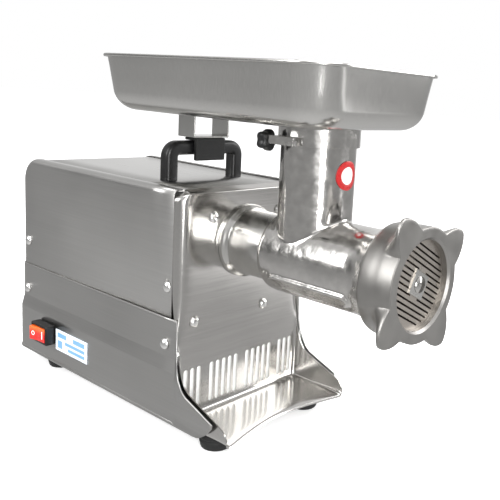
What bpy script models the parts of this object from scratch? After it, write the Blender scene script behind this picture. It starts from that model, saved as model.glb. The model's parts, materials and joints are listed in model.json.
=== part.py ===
"""Electric meat grinder: sheet body, motor and gearbox, bolted head, ring nut, tray and handle.

Metres, +Z up. The front, where the meat comes out, faces -Y, and +X is right seen from the front.
The model is built with y = 0 on the front plate's outer face and z = 0 on the base pan's lower rim,
and its root empty then stands the whole object on the origin.
"""
import math

import bmesh
import bpy
import numpy as np
from mathutils import Matrix, Vector

# ---------------------------------------------------------------- driving dimensions (metres)
GAP = 0.0003                # clearance kept between touching pieces
SHEET = 0.0012              # body sheet thickness

BODY_W = 0.161              # over the side panels
BODY_L = 0.279              # front plate face to rear flange
BODY_H = 0.220              # lower rim to panel tops
PANEL_ROLL = 0.006          # rolled edge radius of the side panels
PANEL_FLANGE = 0.010        # inward flange of a side panel
REAR_CORNER = 0.025         # rear top corner radius
REAR_STEPS = 4              # flats round that corner, on the panels and the cover
FRONT_CORNER = 0.011        # front top corner radius

PAN_TOP = 0.100             # top edge of the base pan
STEP_TOP = 0.063            # upper crease of the outward step
STEP_LOW = 0.050            # lower crease of the outward step
STEP_OUT = 0.0030           # how far the skirt steps out
RIM_H = 0.0035              # rolled lower rim
RIM_OUT = 0.0008
TOE_SKIRT = 0.055           # reach of the skirt in front of the front plate

SHELF_REACH = 0.073         # tips of the drip shelf in front of the front plate
SHELF_HOLLOW = 0.0165       # how far the lip is hollowed between the tips
FOLD_R = 0.005              # inner fold between the plate, the shelf and its cheeks
LIP_DROP = 0.0025           # how far the shelf's lip turns down
CHEEK_TOP = 0.072           # height where the plate's sides start to turn forward into the cheeks
CHEEK_BEND = (-0.018, 0.0335)       # y, z where a cheek's edge becomes a straight slope
CHEEK_NOSE = (-0.058, 0.0185)       # y, z where its round nose starts
PLATE_ROLL = 0.010          # rolled-back side edges of the front plate
TOP_ROLL = 0.003            # its rolled-back top edge

SLOT_GROUP = (1, 2, 3, 4, 5, 7, 8, 9)       # pitches from the middle that have a vent slot
SLOT_PITCH = 0.0078
SLOT_W = 0.0048
SLOT_LOW = 0.010
SLOT_H = 0.040
VENT_H = 0.028              # slots of the rear panel

FLOOR_T = 0.002
FLOOR_Z = 0.0015
FOOT_R = 0.017
FOOT_H = 0.017
FOOT_X = 0.060
FOOT_FRONT_Y = -0.034
FOOT_REAR_Y = 0.232

BOLT_R = 0.0055
BOLT_H = 0.0035
SIDE_BOLTS = ((0.266, 0.127), (0.266, 0.072), (0.0165, 0.129), (0.0165, 0.0745))    # y, z
FRONT_BOLTS = ((-0.043, 0.193), (0.043, 0.193), (-0.062, 0.0955), (0.027, 0.0955))  # x, z

AXIS_Z = 0.166              # axis of the output shaft and of the grinding head
NECK_R = 0.032
NECK_BORE = 0.0293
NECK_COLLAR_R = 0.036
NECK_L = 0.050
NOSE_L = 0.005              # gearbox nose in front of the front plate's face

THROAT_Y = -0.087           # throat axis
THROAT_R = 0.0339
THROAT_WALL = 0.0034
BARREL_R = 0.038
BARREL_BORE = 0.0335
SPIGOT_R = 0.029
SPIGOT_BORE = 0.0225
SHOULDER_Y = -0.0505        # rear end of the barrel's body
FLARE_Y = -0.160            # where the barrel starts to widen
THREAD_Y = -0.176           # where the threaded front starts
BARREL_FRONT = -0.2005
THREAD_R = 0.0462
SEAT_Y = -0.1935            # seat that the hole plate rests on
RIB_W = 0.013
RIB_OUT = 0.003
RIB_ANGLE = 31.0            # degrees below level

PLATE_R = 0.041
PLATE_T = 0.008
PLATE_HUB_R = 0.0125
PLATE_BORE = 0.0075
PLATE_SLOT_W = 0.0016       # cutting slots of the plate
PLATE_SLOT_PITCH = 0.0046
PLATE_SLOT_REACH = 0.0355   # radius that the slots end at
PLATE_LEAN = -28.0          # degrees that they lean
OPENING_R = 0.038           # opening of the ring nut

NUT_FRONT = -0.2085
NUT_RIM = 0.0035            # full-width front of the lobes
NUT_BODY = -0.193           # where the lobes have tapered into the skirt
NUT_REAR = -0.1745
NUT_R = 0.0488
NUT_LOBE = 0.0205
NUT_TURN = 33.0             # degrees that the first lobe leans from straight up
LOBE_HALF = 21.0            # degrees from a lobe's middle to its foot
NUT_SKIRT_R = 0.0484

AUGER_CORE = 0.0125
AUGER_R = 0.0325
AUGER_PITCH = 0.038
AUGER_REAR = -0.053
AUGER_FRONT = -0.184
FLIGHT_W = 0.008
TANG_R = 0.0085
PIN_R = 0.0068
KNIFE_T = 0.008
KNIFE_R = 0.0385

GEAR_MODULE = 0.002
TEETH_MOTOR = 12
TEETH_COUNTER = 36
TEETH_SMALL = 14
TEETH_OUTPUT = 42
COUNTER_LEAN = 20.0         # degrees between straight down and the countershaft
GEAR_BACKLASH = 0.0006
BOX_FRONT = 0.013
BOX_WALL = 0.004
STAGE_FRONT = 0.020         # front face of the slow gear pair
STAGE_T = 0.010
STAGE_STEP = 0.0125
SHAFT_R = 0.006
OUTPUT_R = 0.0115

MOTOR_R = 0.052
MOTOR_FRONT = 0.072
MOTOR_L = 0.120
CAP_L = 0.012
MOTOR_BORE = 0.031

TRAY_W = 0.1815
TRAY_FRONT = -0.1635
TRAY_REAR = 0.131
TRAY_Z = 0.2865             # underside of the tray
TRAY_DEPTH = 0.0505
TRAY_SHEET = 0.001
TRAY_LIP = 0.0045
TRAY_TAPER = 0.0065
TRAY_CORNER = 0.030
TRAY_FOOT = 0.016

COLLAR_Z = 0.2685
COLLAR_WALL = 0.0026
CLAMP_X = -0.0415
CLAMP_Z = 0.271
KNOB_R = 0.0098
KNOB_T = 0.010

HANDLE_W = 0.098
HANDLE_T = 0.014
HANDLE_H = 0.039
HANDLE_Y = 0.069
HANDLE_CORNER = 0.014
SADDLE_W = 0.037
SADDLE_FLAP = 0.0195
BRACKET_W = 0.045
BRACKET_D = 0.025

SWITCH_Y = 0.218
SWITCH_Z = 0.033
SWITCH_L = 0.0315
SWITCH_HEIGHT = 0.0215
SWITCH_OUT = 0.011
SWITCH_WALL = 0.0025
ROCKER_TILT = 8.0
LABEL_Y = 0.170
LABEL_L = 0.061
LABEL_H = 0.0235
LABEL_Z = 0.0295
LABEL_T = 0.0008

HALF = BODY_W / 2
PAN_HALF = HALF + GAP + SHEET            # outer face of the pan's upper part
SKIRT_HALF = PAN_HALF + STEP_OUT         # outer face of the skirt
PAN_CORNER = PANEL_ROLL + GAP + SHEET    # rear corner radius of the pan's upper part
SHELF_Z = FLOOR_Z + SHEET                # top face of the drip shelf

# ---------------------------------------------------------------- materials
MATERIALS = {
    "steel": ((0.55, 0.55, 0.55), 1.0, 0.35),
    "polished": ((0.75, 0.75, 0.75), 1.0, 0.15),
    "cast": ((0.70, 0.70, 0.70), 1.0, 0.25),
    "iron": ((0.20, 0.20, 0.21), 0.8, 0.6),
    "copper": ((0.60, 0.33, 0.18), 1.0, 0.4),
    "rubber": ((0.02, 0.02, 0.02), 0.0, 0.7),
    "black": ((0.02, 0.02, 0.02), 0.0, 0.4),
    "red": ((0.65, 0.03, 0.02), 0.0, 0.3),
    "white": ((0.85, 0.85, 0.85), 0.0, 0.5),
    "nylon": ((0.80, 0.78, 0.70), 0.0, 0.5),
}


def material(name):
    """The named Principled material, made once."""
    found = bpy.data.materials.get(name)
    if found:
        return found
    made = bpy.data.materials.new(name)
    made.use_nodes = True
    colour, metallic, roughness = MATERIALS[name]
    shader = made.node_tree.nodes["Principled BSDF"]
    shader.inputs["Base Color"].default_value = (*colour, 1.0)
    shader.inputs["Metallic"].default_value = metallic
    shader.inputs["Roughness"].default_value = roughness
    return made


# ---------------------------------------------------------------- modelling helpers
def clear_scene():
    """Remove what the scene holds and make the collections for the parts and the cutters."""
    for obj in list(bpy.data.objects):
        bpy.data.objects.remove(obj, do_unlink=True)
    for name in ("meat_grinder", "cutters"):
        group = bpy.data.collections.new(name)
        bpy.context.scene.collection.children.link(group)


def link(obj, finish=None):
    """Put an object in the parts' collection, or with no finish in the cutters'."""
    for group in list(obj.users_collection):
        group.objects.unlink(obj)
    if finish is None:
        bpy.data.collections["cutters"].objects.link(obj)
        obj.hide_render = True
        obj.display_type = "WIRE"
    else:
        bpy.data.collections["meat_grinder"].objects.link(obj)
        obj.data.materials.clear()
        obj.data.materials.append(material(finish))
    return obj


def from_bmesh(name, bm, finish, at=(0, 0, 0)):
    """An object from a bmesh drawn round the point at."""
    mesh = bpy.data.meshes.new(name)
    bm.to_mesh(mesh)
    bm.free()
    obj = bpy.data.objects.new(name, mesh)
    obj.location = at
    return link(obj, finish)


def box(name, low, high, finish=None, bevel=0.0):
    """A box between two corners, with an optional small bevel."""
    low, high = Vector(low), Vector(high)
    bm = bmesh.new()
    bmesh.ops.create_cube(bm, size=1.0)
    bmesh.ops.scale(bm, vec=high - low, verts=bm.verts)
    obj = from_bmesh(name, bm, finish, (low + high) / 2)
    if bevel:
        rounded = obj.modifiers.new("Bevel", "BEVEL")
        rounded.width = bevel
        rounded.segments = 2
        rounded.limit_method = "ANGLE"
    return obj


AXES = {
    "z": Matrix.Identity(4),
    "y": Matrix.Rotation(math.radians(90), 4, "X"),      # profile height runs towards -Y
    "x": Matrix.Rotation(math.radians(90), 4, "Y"),      # profile height runs towards +X
}


def turned(name, profile, at, finish=None, axis="z", steps=32):
    """A turned solid from (radius, height) points.

    The points run from the top down the outer side, and end on the axis or close on themselves.
    """
    closed = profile[0][0] > 0
    mesh = bpy.data.meshes.new(name)
    count = len(profile)
    edges = [(i, i + 1) for i in range(count - 1)] + ([(count - 1, 0)] if closed else [])
    mesh.from_pydata([(r, 0, h) for r, h in profile], edges, [])
    obj = bpy.data.objects.new(name, mesh)
    screw = obj.modifiers.new("Screw", "SCREW")
    screw.steps = screw.render_steps = steps
    screw.use_merge_vertices = True
    screw.merge_threshold = 0.00001
    screw.use_smooth_shade = False
    obj.matrix_world = Matrix.Translation(at) @ AXES[axis]
    return link(obj, finish)


def tube_profile(outer, inner, top, bottom):
    """The closed profile of a plain ring or tube."""
    return [(outer, top), (outer, bottom), (inner, bottom), (inner, top)]


def rod_profile(radius, top, bottom):
    """The open profile of a plain rod."""
    return [(0, top), (radius, top), (radius, bottom), (0, bottom)]


def flat(name, outlines, thickness, at, finish=None, axis="z"):
    """A flat piece with holes, centred on the point at: a filled 2D curve made a mesh.

    Args:
        outlines: closed outlines of (u, v) points, the outer one first.
        axis: the direction of its thickness.
    """
    curve = bpy.data.curves.new(name, "CURVE")
    curve.dimensions = "2D"
    curve.fill_mode = "BOTH"
    curve.extrude = thickness / 2
    for outline in outlines:
        spline = curve.splines.new("POLY")
        spline.points.add(len(outline) - 1)
        spline.points.foreach_set("co", [c for u, v in outline for c in (u, v, 0.0, 1.0)])
        spline.use_cyclic_u = True
    obj = made_mesh(name, curve)
    obj.matrix_world = Matrix.Translation(at) @ AXES[axis]
    return link(obj, finish)


def made_mesh(name, curve):
    """A curve's solid as a mesh object, with its caps welded on."""
    drawn = bpy.data.objects.new(name, curve)
    bpy.context.scene.collection.objects.link(drawn)
    bpy.context.view_layer.update()
    mesh = bpy.data.meshes.new_from_object(drawn.evaluated_get(bpy.context.evaluated_depsgraph_get()))
    bpy.data.objects.remove(drawn, do_unlink=True)
    bm = bmesh.new()
    bm.from_mesh(mesh)
    bmesh.ops.remove_doubles(bm, verts=bm.verts, dist=0.000005)
    bmesh.ops.recalc_face_normals(bm, faces=bm.faces)
    bm.to_mesh(mesh)
    bm.free()
    return bpy.data.objects.new(name, mesh)


def circle(radius, steps, centre=(0.0, 0.0), turn=0.0):
    """Points round a circle."""
    angles = turn + np.arange(steps) * math.tau / steps
    return [(centre[0] + radius * math.cos(a), centre[1] + radius * math.sin(a)) for a in angles]


def cut(obj, cutter, operation="DIFFERENCE"):
    """Cut or join one object with another, which then counts as a cutter."""
    change = obj.modifiers.new(operation.title(), "BOOLEAN")
    change.operation = operation
    change.solver = "EXACT"
    change.object = cutter
    return obj


def shell(name, rows, thickness, finish, offset=-1.0, at=(0, 0, 0)):
    """A sheet piece: a grid of points, rows by columns, given a thickness with Solidify."""
    rows = np.asarray(rows, float) - np.asarray(at, float)
    down, across = rows.shape[:2]
    ids = np.arange(down * across).reshape(down, across)
    faces = np.stack([ids[:-1, :-1], ids[:-1, 1:], ids[1:, 1:], ids[1:, :-1]], -1).reshape(-1, 4)
    mesh = bpy.data.meshes.new(name)
    mesh.from_pydata(rows.reshape(-1, 3).tolist(), [], faces.tolist())
    obj = bpy.data.objects.new(name, mesh)
    obj.location = at
    thicken(obj, thickness, offset)
    return link(obj, finish)


def thicken(obj, thickness, offset=-1.0):
    """Give an open surface its sheet thickness."""
    solid = obj.modifiers.new("Solidify", "SOLIDIFY")
    solid.thickness = thickness
    solid.offset = offset
    solid.use_even_offset = True
    return solid


def arc(centre, radius, start, end, count):
    """Points on an arc, angles in degrees."""
    angles = np.radians(np.linspace(start, end, count))
    return [(centre[0] + radius * math.cos(a), centre[1] + radius * math.sin(a)) for a in angles]


# ---------------------------------------------------------------- body sheets
def shelf_reach(x):
    """How far the shelf's lip stands in front of the front plate at x."""
    return SHELF_REACH - SHELF_HOLLOW * (1 - abs(x / HALF) ** 1.6)


def bezier(start, middle, end, count):
    """Points on a quadratic curve, both ends included."""
    t = np.linspace(0, 1, count)[:, None]
    return (1 - t) ** 2 * np.array(start) + 2 * t * (1 - t) * np.array(middle) + t ** 2 * np.array(end)


def cheek_edge():
    """A cheek's upper edge (y, z): it sweeps forward from the plate, slopes down and ends in a nose."""
    slope = np.array(CHEEK_NOSE) - np.array(CHEEK_BEND)
    sweep = bezier((0.0, CHEEK_TOP), np.array(CHEEK_BEND) - slope * 0.32, CHEEK_BEND, 6)
    straight = [np.array(CHEEK_BEND) + slope * share for share in (0.34, 0.68)]
    tip = (-SHELF_REACH + 0.0025, 0.004)
    nose = bezier(CHEEK_NOSE, (tip[0], CHEEK_NOSE[1] - 0.004), tip, 5)
    return [tuple(p) for p in (*sweep, *straight, *nose)]


def cheek_height(y):
    """Height of the cheek's upper edge at y in front of the plate."""
    edge = cheek_edge()
    return float(np.interp(-y, [-p[0] for p in edge], [p[1] for p in edge]))


def front_plate():
    """The bright front plate: rolled side and top edges, and a drip shelf with cheeks folded forward."""
    rows = []
    for across, up in arc((0, 0), 1.0, 90, 0, 5):               # the rounded top corners
        half = HALF - FRONT_CORNER * (1 - across)
        z = BODY_H - GAP - FRONT_CORNER * (1 - up) - TOP_ROLL * up
        rows.append(plate_row(half, PLATE_ROLL * across, PLATE_ROLL, z))
    for z, depth in ((0.165, 1.0), (0.120, 1.0), (0.100, 0.6), (CHEEK_TOP + 0.008, 0.1)):
        rows.append(plate_row(HALF, PLATE_ROLL, PLATE_ROLL * depth, z))
    places = [(0.0, 0.0555), (0.0, 0.042), (0.0, 0.030), (0.0, 0.018)]
    places += arc((-FOLD_R, SHELF_Z + FOLD_R), FOLD_R, 0, -90, 3)
    places += [(-0.020, SHELF_Z), (-0.036, SHELF_Z), (None, 0.0040, 0.0), (None, 0.0012, 0.3), (None, 0.0, 1.0)]
    for place, edge in zip(places, cheek_edge()[1:]):
        rows.append(shelf_row(place, edge))
    plate = shell("front_plate", [top_edge(rows[0])] + rows, SHEET, "polished", offset=1.0)
    for i in SLOT_GROUP:
        for side in (-1, 1):
            cut(plate, slot_cutter(f"slot_{side * i}", side * i * SLOT_PITCH, 0.0, SLOT_LOW, SLOT_H))
    hole = turned("plate_hole", rod_profile(NECK_BORE + GAP, 0.01, -0.01), (0, 0, AXIS_Z), axis="y")
    return cut(plate, hole)


COLUMNS = np.linspace(-1, 1, 13)        # where a row of the front plate has its middle points


def plate_row(half, roll, depth, z):
    """An upright row of the front plate, with sides rolled back by depth."""
    middle = [(x * (half - roll), 0.0, z) for x in COLUMNS]
    edge = [(half - roll * (1 - math.sin(a)), depth * (1 - math.cos(a)), z)
            for a in np.radians((22.5, 45, 67.5, 90))]
    return mirrored(edge) + middle + edge


def shelf_row(place, edge_end):
    """A row below the cheeks' tops: its sides turn forward, or up, and end on the cheek's edge."""
    half = HALF - SHEET
    inner = half - FOLD_R
    middle = []
    for x in COLUMNS * inner:
        if place[0] is None:                                    # rows that follow the lip
            middle.append((x, -shelf_reach(x) + place[1], SHELF_Z - LIP_DROP * place[2]))
        else:
            middle.append((x, *place))
    start, end = Vector(middle[-1][1:]), Vector(edge_end)
    along = (end - start).normalized()
    fold = min(FOLD_R, 0.6 * (end - start).length)
    edge = []
    for a in np.radians((30, 60, 90)):
        point = start + along * fold * (1 - math.cos(a))
        edge.append((inner + FOLD_R * math.sin(a), *point))
    edge.append((half, *end))
    return mirrored(edge) + middle + edge


def mirrored(edge):
    """The left side's points for those of the right side."""
    return [(-x, y, z) for x, y, z in reversed(edge)]


def top_edge(row):
    """The rolled-back top edge above the first row."""
    return [(x, PLATE_ROLL - 0.001 + 0.1 * y, BODY_H - GAP) for x, y, _ in row]


def slot_cutter(name, x, y, low, height):
    """A round-ended upright slot through a plate that faces Y."""
    radius = SLOT_W / 2
    outline = (arc((x, low + height - radius), radius, 0, 180, 3)
               + arc((x, low + radius), radius, 180, 360, 3))
    # a flat piece turned to face Y draws its v axis upwards
    return flat(name, [outline], 0.02, (0, y, 0), axis="y")


def base_pan():
    """The base pan: left wall, rear wall and right wall in one sheet, stepped out to a skirt."""
    levels = (PAN_TOP, STEP_TOP, STEP_LOW, RIM_H + 0.001, RIM_H, 0.0)
    ys = (-TOE_SKIRT, -0.045, -0.030, -0.012, -0.0012, 0.0, 0.060, 0.160, BODY_L - PANEL_ROLL)
    rows = []
    for level in levels:
        left = [(-PAN_HALF - pan_offset(pan_height(y, level)), y, pan_height(y, level)) for y in ys]
        out = pan_offset(level)
        centre = (-HALF + PANEL_ROLL, BODY_L - PANEL_ROLL)
        left += [(x, y, level) for x, y in arc(centre, PAN_CORNER + out, 180, 90, 5)[1:]]
        rows.append(left + [(-x, y, z) for x, y, z in reversed(left)])
    pan = shell("base_pan", rows, SHEET, "steel")
    pan.modifiers["Solidify"].use_even_offset = False
    opening = box("switch_cut", (-SKIRT_HALF - 0.004, SWITCH_Y - 0.0125, SWITCH_Z - 0.0085),
                  (-HALF + 0.004, SWITCH_Y + 0.0125, SWITCH_Z + 0.0085))
    return cut(pan, opening)


def pan_offset(z):
    """How far out the pan stands at a height: nothing above the step, a bead at the lower rim."""
    share = min(1.0, max(0.0, (STEP_TOP - z) / (STEP_TOP - STEP_LOW)))
    return STEP_OUT * share + (RIM_OUT if z <= RIM_H else 0.0)


def pan_height(y, level):
    """Height of a pan row at y: in front of the plate the wall runs down to the toe."""
    if y >= 0:
        return level
    t = -y / TOE_SKIRT
    top = cheek_height(y) - 0.002
    low = 0.0 if t < 0.55 else 0.016 * ((t - 0.55) / 0.45) ** 2
    return low + (top - low) * level / PAN_TOP


def base_plate():
    """The floor of the body behind the front plate, which carries the rear feet and the motor."""
    half = HALF - SHEET - GAP * 4
    outline = [(-half, 0.003), (half, 0.003), (half, BODY_L - PAN_CORNER), (half - PAN_CORNER, BODY_L),
                     (-half + PAN_CORNER, BODY_L), (-half, BODY_L - PAN_CORNER)]
    return flat("base_plate", [outline], FLOOR_T, (0, 0, FLOOR_Z + FLOOR_T / 2), "steel")


def side_panel(side):
    """A side panel with rolled top and rear edges, open inwards, downwards and to the front."""
    low_z = STEP_TOP + 0.002
    front = PLATE_ROLL + 0.0006
    bm = bmesh.new()
    bmesh.ops.create_cube(bm, size=1.0)
    size = Vector((PANEL_FLANGE, BODY_L - front, BODY_H - low_z))
    bmesh.ops.scale(bm, vec=size, verts=bm.verts)
    edge = next(e for e in bm.edges if all(v.co.y > 0 and v.co.z > 0 for v in e.verts))
    bmesh.ops.bevel(bm, geom=[edge], offset=REAR_CORNER, segments=REAR_STEPS, affect="EDGES",
                    profile=0.5)
    open_sides = [min(bm.faces, key=lambda f: f.calc_center_median().z),
                  min(bm.faces, key=lambda f: f.calc_center_median().x * side),
                  min(bm.faces, key=lambda f: f.calc_center_median().y)]
    bmesh.ops.delete(bm, geom=open_sides, context="FACES")
    outer = max(bm.faces, key=lambda f: f.calc_center_median().x * side)
    rolled = [e for e in outer.edges if len(e.link_faces) == 2]
    bmesh.ops.bevel(bm, geom=rolled, offset=PANEL_ROLL, segments=2, affect="EDGES", profile=0.5)
    centre = (side * (HALF - PANEL_FLANGE / 2), (front + BODY_L) / 2, (low_z + BODY_H) / 2)
    panel = from_bmesh("side_panel_left" if side < 0 else "side_panel_right", bm, "steel", centre)
    thicken(panel, SHEET)
    return panel


def top_cover():
    """The top sheet, a little lower than the rolled panel tops, bent down at the rear."""
    half = HALF - PANEL_ROLL
    top = BODY_H - SHEET - GAP
    rear = BODY_L - SHEET - GAP
    radius = REAR_CORNER - SHEET - GAP
    section = [(PLATE_ROLL + 0.0006, top), (0.1, top), (rear - radius, top)]
    section += arc((rear - radius, top - radius), radius, 90, 0, REAR_STEPS + 1)[1:]
    section += [(rear, top - radius - 0.006)]
    rows = [[(x, y, z) for x in (-half, 0.0, half)] for y, z in section]
    return shell("top_cover", rows, SHEET, "steel")


def rear_panel():
    """The rear panel inside the side panels' flanges, with two rows of vents and a cable hole."""
    half = HALF - PANEL_ROLL
    rear = BODY_L - SHEET - GAP
    low, high = FLOOR_Z + FLOOR_T + GAP, BODY_H - REAR_CORNER - 0.0068
    panel = box("rear_panel", (-half, rear - SHEET, low), (half, rear, high), "steel")
    for row, z in enumerate((0.112, 0.152)):
        for i in range(7):
            x = (i - 3) * 0.013
            cut(panel, slot_cutter(f"vent_{row}_{i}", x, rear, z, VENT_H))
    return panel


def body():
    """Sheets, feet, bolts, label, switch and gland."""
    base_pan()
    front_plate()
    base_plate()
    side_panel(-1)
    side_panel(1)
    top_cover()
    rear_panel()
    for name, x, y in (("foot_front_left", -1, FOOT_FRONT_Y), ("foot_front_right", 1, FOOT_FRONT_Y),
                       ("foot_rear_left", -1, FOOT_REAR_Y), ("foot_rear_right", 1, FOOT_REAR_Y)):
        turned(name, [(0, FOOT_H), (FOOT_R - 0.001, FOOT_H), (FOOT_R, FOOT_H - 0.002),
                             (FOOT_R, FOOT_H - 0.005), (FOOT_R - 0.003, 0), (0, 0)],
                      (x * FOOT_X, y, FLOOR_Z - GAP - FOOT_H), "rubber", steps=16)
    dome = [(0, BOLT_H), (BOLT_R * 0.7, BOLT_H * 0.75), (BOLT_R, BOLT_H * 0.15), (BOLT_R, 0), (0, 0)]
    for side, letter in ((-1, "left"), (1, "right")):
        for i, (y, z) in enumerate(SIDE_BOLTS):
            face = (PAN_HALF if z < PAN_TOP else HALF) + GAP
            bolt = turned(f"side_bolt_{letter}_{i + 1}", dome, (side * face, y, z), "polished", "x", 10)
            if side < 0:
                bolt.rotation_euler = (0, -math.radians(90), 0)
    for i, (x, z) in enumerate(FRONT_BOLTS):
        turned(f"front_bolt_{i + 1}", dome, (x, -GAP, z), "polished", "y", 10)
    box("label_plate", (-SKIRT_HALF - GAP - LABEL_T, LABEL_Y - LABEL_L / 2, LABEL_Z - LABEL_H / 2),
        (-SKIRT_HALF - GAP, LABEL_Y + LABEL_L / 2, LABEL_Z + LABEL_H / 2), "white")
    switch()
    gland_y = BODY_L + GAP + SHEET + STEP_OUT + GAP
    turned("cable_gland", [(0.011, 0), (0.011, -0.004), (0.0085, -0.005), (0.0070, -0.017),
                           (0.0045, -0.017), (0.0045, 0)],
           (0.045, gland_y, 0.030), "black", "y", 20)


def switch():
    """The raised black switch housing with its rocker, which turns about an upright axis."""
    face = -SKIRT_HALF - GAP
    y0, y1 = SWITCH_Y - SWITCH_L / 2, SWITCH_Y + SWITCH_L / 2
    z0, z1 = SWITCH_Z - SWITCH_HEIGHT / 2, SWITCH_Z + SWITCH_HEIGHT / 2
    housing = box("switch_housing", (face - SWITCH_OUT, y0, z0), (face, y1, z1), "black", 0.0012)
    body_end = -HALF + 0.013
    cut(housing, box("switch_body", (face - 0.002, SWITCH_Y - 0.012, SWITCH_Z - 0.008),
                     (body_end, SWITCH_Y + 0.012, SWITCH_Z + 0.008)), "UNION")
    wall = SWITCH_WALL
    cut(housing, box("switch_pocket", (face - SWITCH_OUT - 0.002, y0 + wall, z0 + wall),
                     (face - 0.0018, y1 - wall, z1 - wall)))
    reach = SWITCH_L / 2 - wall - 0.0010
    pivot_x = face - 0.0072
    tilt = math.tan(math.radians(ROCKER_TILT))
    outline = [(-0.0052, 0.0), (-0.0052 - reach * tilt * 0.55, reach), (-0.0002, reach * 0.98),
               (0.0036, 0.005), (0.0036, -0.005), (-0.0002, -reach * 0.98),
               (-0.0052 - reach * tilt * 0.55, -reach)]
    rocker = flat("switch_rocker", [outline], SWITCH_HEIGHT - 2 * wall - 0.0012,
                  (pivot_x, SWITCH_Y, SWITCH_Z), "red")
    rocker.rotation_euler = (0, 0, math.radians(ROCKER_TILT))


# ---------------------------------------------------------------- handle
def handle():
    """The carry handle: a D of square bar with rounded corners."""
    half = (HANDLE_W - HANDLE_T) / 2
    foot_z = BODY_H - SHEET
    bar_z = foot_z + HANDLE_H - HANDLE_T / 2
    bend = HANDLE_CORNER - HANDLE_T / 2 + 0.002
    path = [(-half, foot_z)]
    path += arc((-half + bend, bar_z - bend), bend, 180, 90, 5)
    path += arc((half - bend, bar_z - bend), bend, 90, 0, 5)
    path += [(half, foot_z)]
    curve = bpy.data.curves.new("carry_handle", "CURVE")
    curve.dimensions = "3D"
    curve.bevel_mode = "OBJECT"
    curve.use_fill_caps = True
    spline = curve.splines.new("POLY")
    spline.points.add(len(path) - 1)
    spline.points.foreach_set("co", [c for x, z in path for c in (x, 0.0, z, 1.0)])
    curve.bevel_object = handle_section()
    bar = made_mesh("carry_handle", curve)
    bar.location = (0, HANDLE_Y, 0)
    return link(bar, "black")


def handle_section():
    """The bar's rounded square section, a guide for the handle's curve."""
    half, radius = HANDLE_T / 2, 0.004
    outline = []
    for i, (x, y) in enumerate(((1, 1), (-1, 1), (-1, -1), (1, -1))):
        centre = (x * (half - radius), y * (half - radius))
        outline += arc(centre, radius, i * 90, i * 90 + 90, 3)
    curve = bpy.data.curves.new("handle_section", "CURVE")
    curve.dimensions = "2D"
    spline = curve.splines.new("POLY")
    spline.points.add(len(outline) - 1)
    spline.points.foreach_set("co", [c for x, y in outline for c in (x, y, 0.0, 1.0)])
    spline.use_cyclic_u = True
    return link_guide(bpy.data.objects.new("handle_section", curve))


def link_guide(obj):
    """Put a guide curve with the cutters."""
    bpy.data.collections["cutters"].objects.link(obj)
    obj.hide_render = True
    obj.display_type = "WIRE"
    return obj


# ---------------------------------------------------------------- drive
def gear_outline(teeth, phase=0.0):
    """Points round a spur gear with straight-flanked teeth, one tooth at the angle phase."""
    pitch_r = GEAR_MODULE * teeth / 2
    tip, root = pitch_r + 0.9 * GEAR_MODULE, pitch_r - 1.2 * GEAR_MODULE
    step = math.tau / teeth
    slack = GEAR_BACKLASH / pitch_r
    wide, narrow = 0.30 * step, 0.14 * step - slack / 2
    points = []
    for i in range(teeth):
        a = phase + i * step
        points += [(radius * math.cos(a + s), radius * math.sin(a + s))
                   for radius, s in ((root, -wide), (tip, -narrow), (tip, narrow), (root, wide))]
    return points


def drive_places():
    """The countershaft's and the motor's axes (x, z), from the gear sizes."""
    slow = GEAR_MODULE * (TEETH_SMALL + TEETH_OUTPUT) / 2
    fast = GEAR_MODULE * (TEETH_MOTOR + TEETH_COUNTER) / 2
    lean = math.radians(COUNTER_LEAN)
    counter = (slow * math.sin(lean), AXIS_Z - slow * math.cos(lean))
    back = math.asin(counter[0] / fast)
    motor = (0.0, counter[1] - fast * math.cos(back))
    return counter, motor


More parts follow.
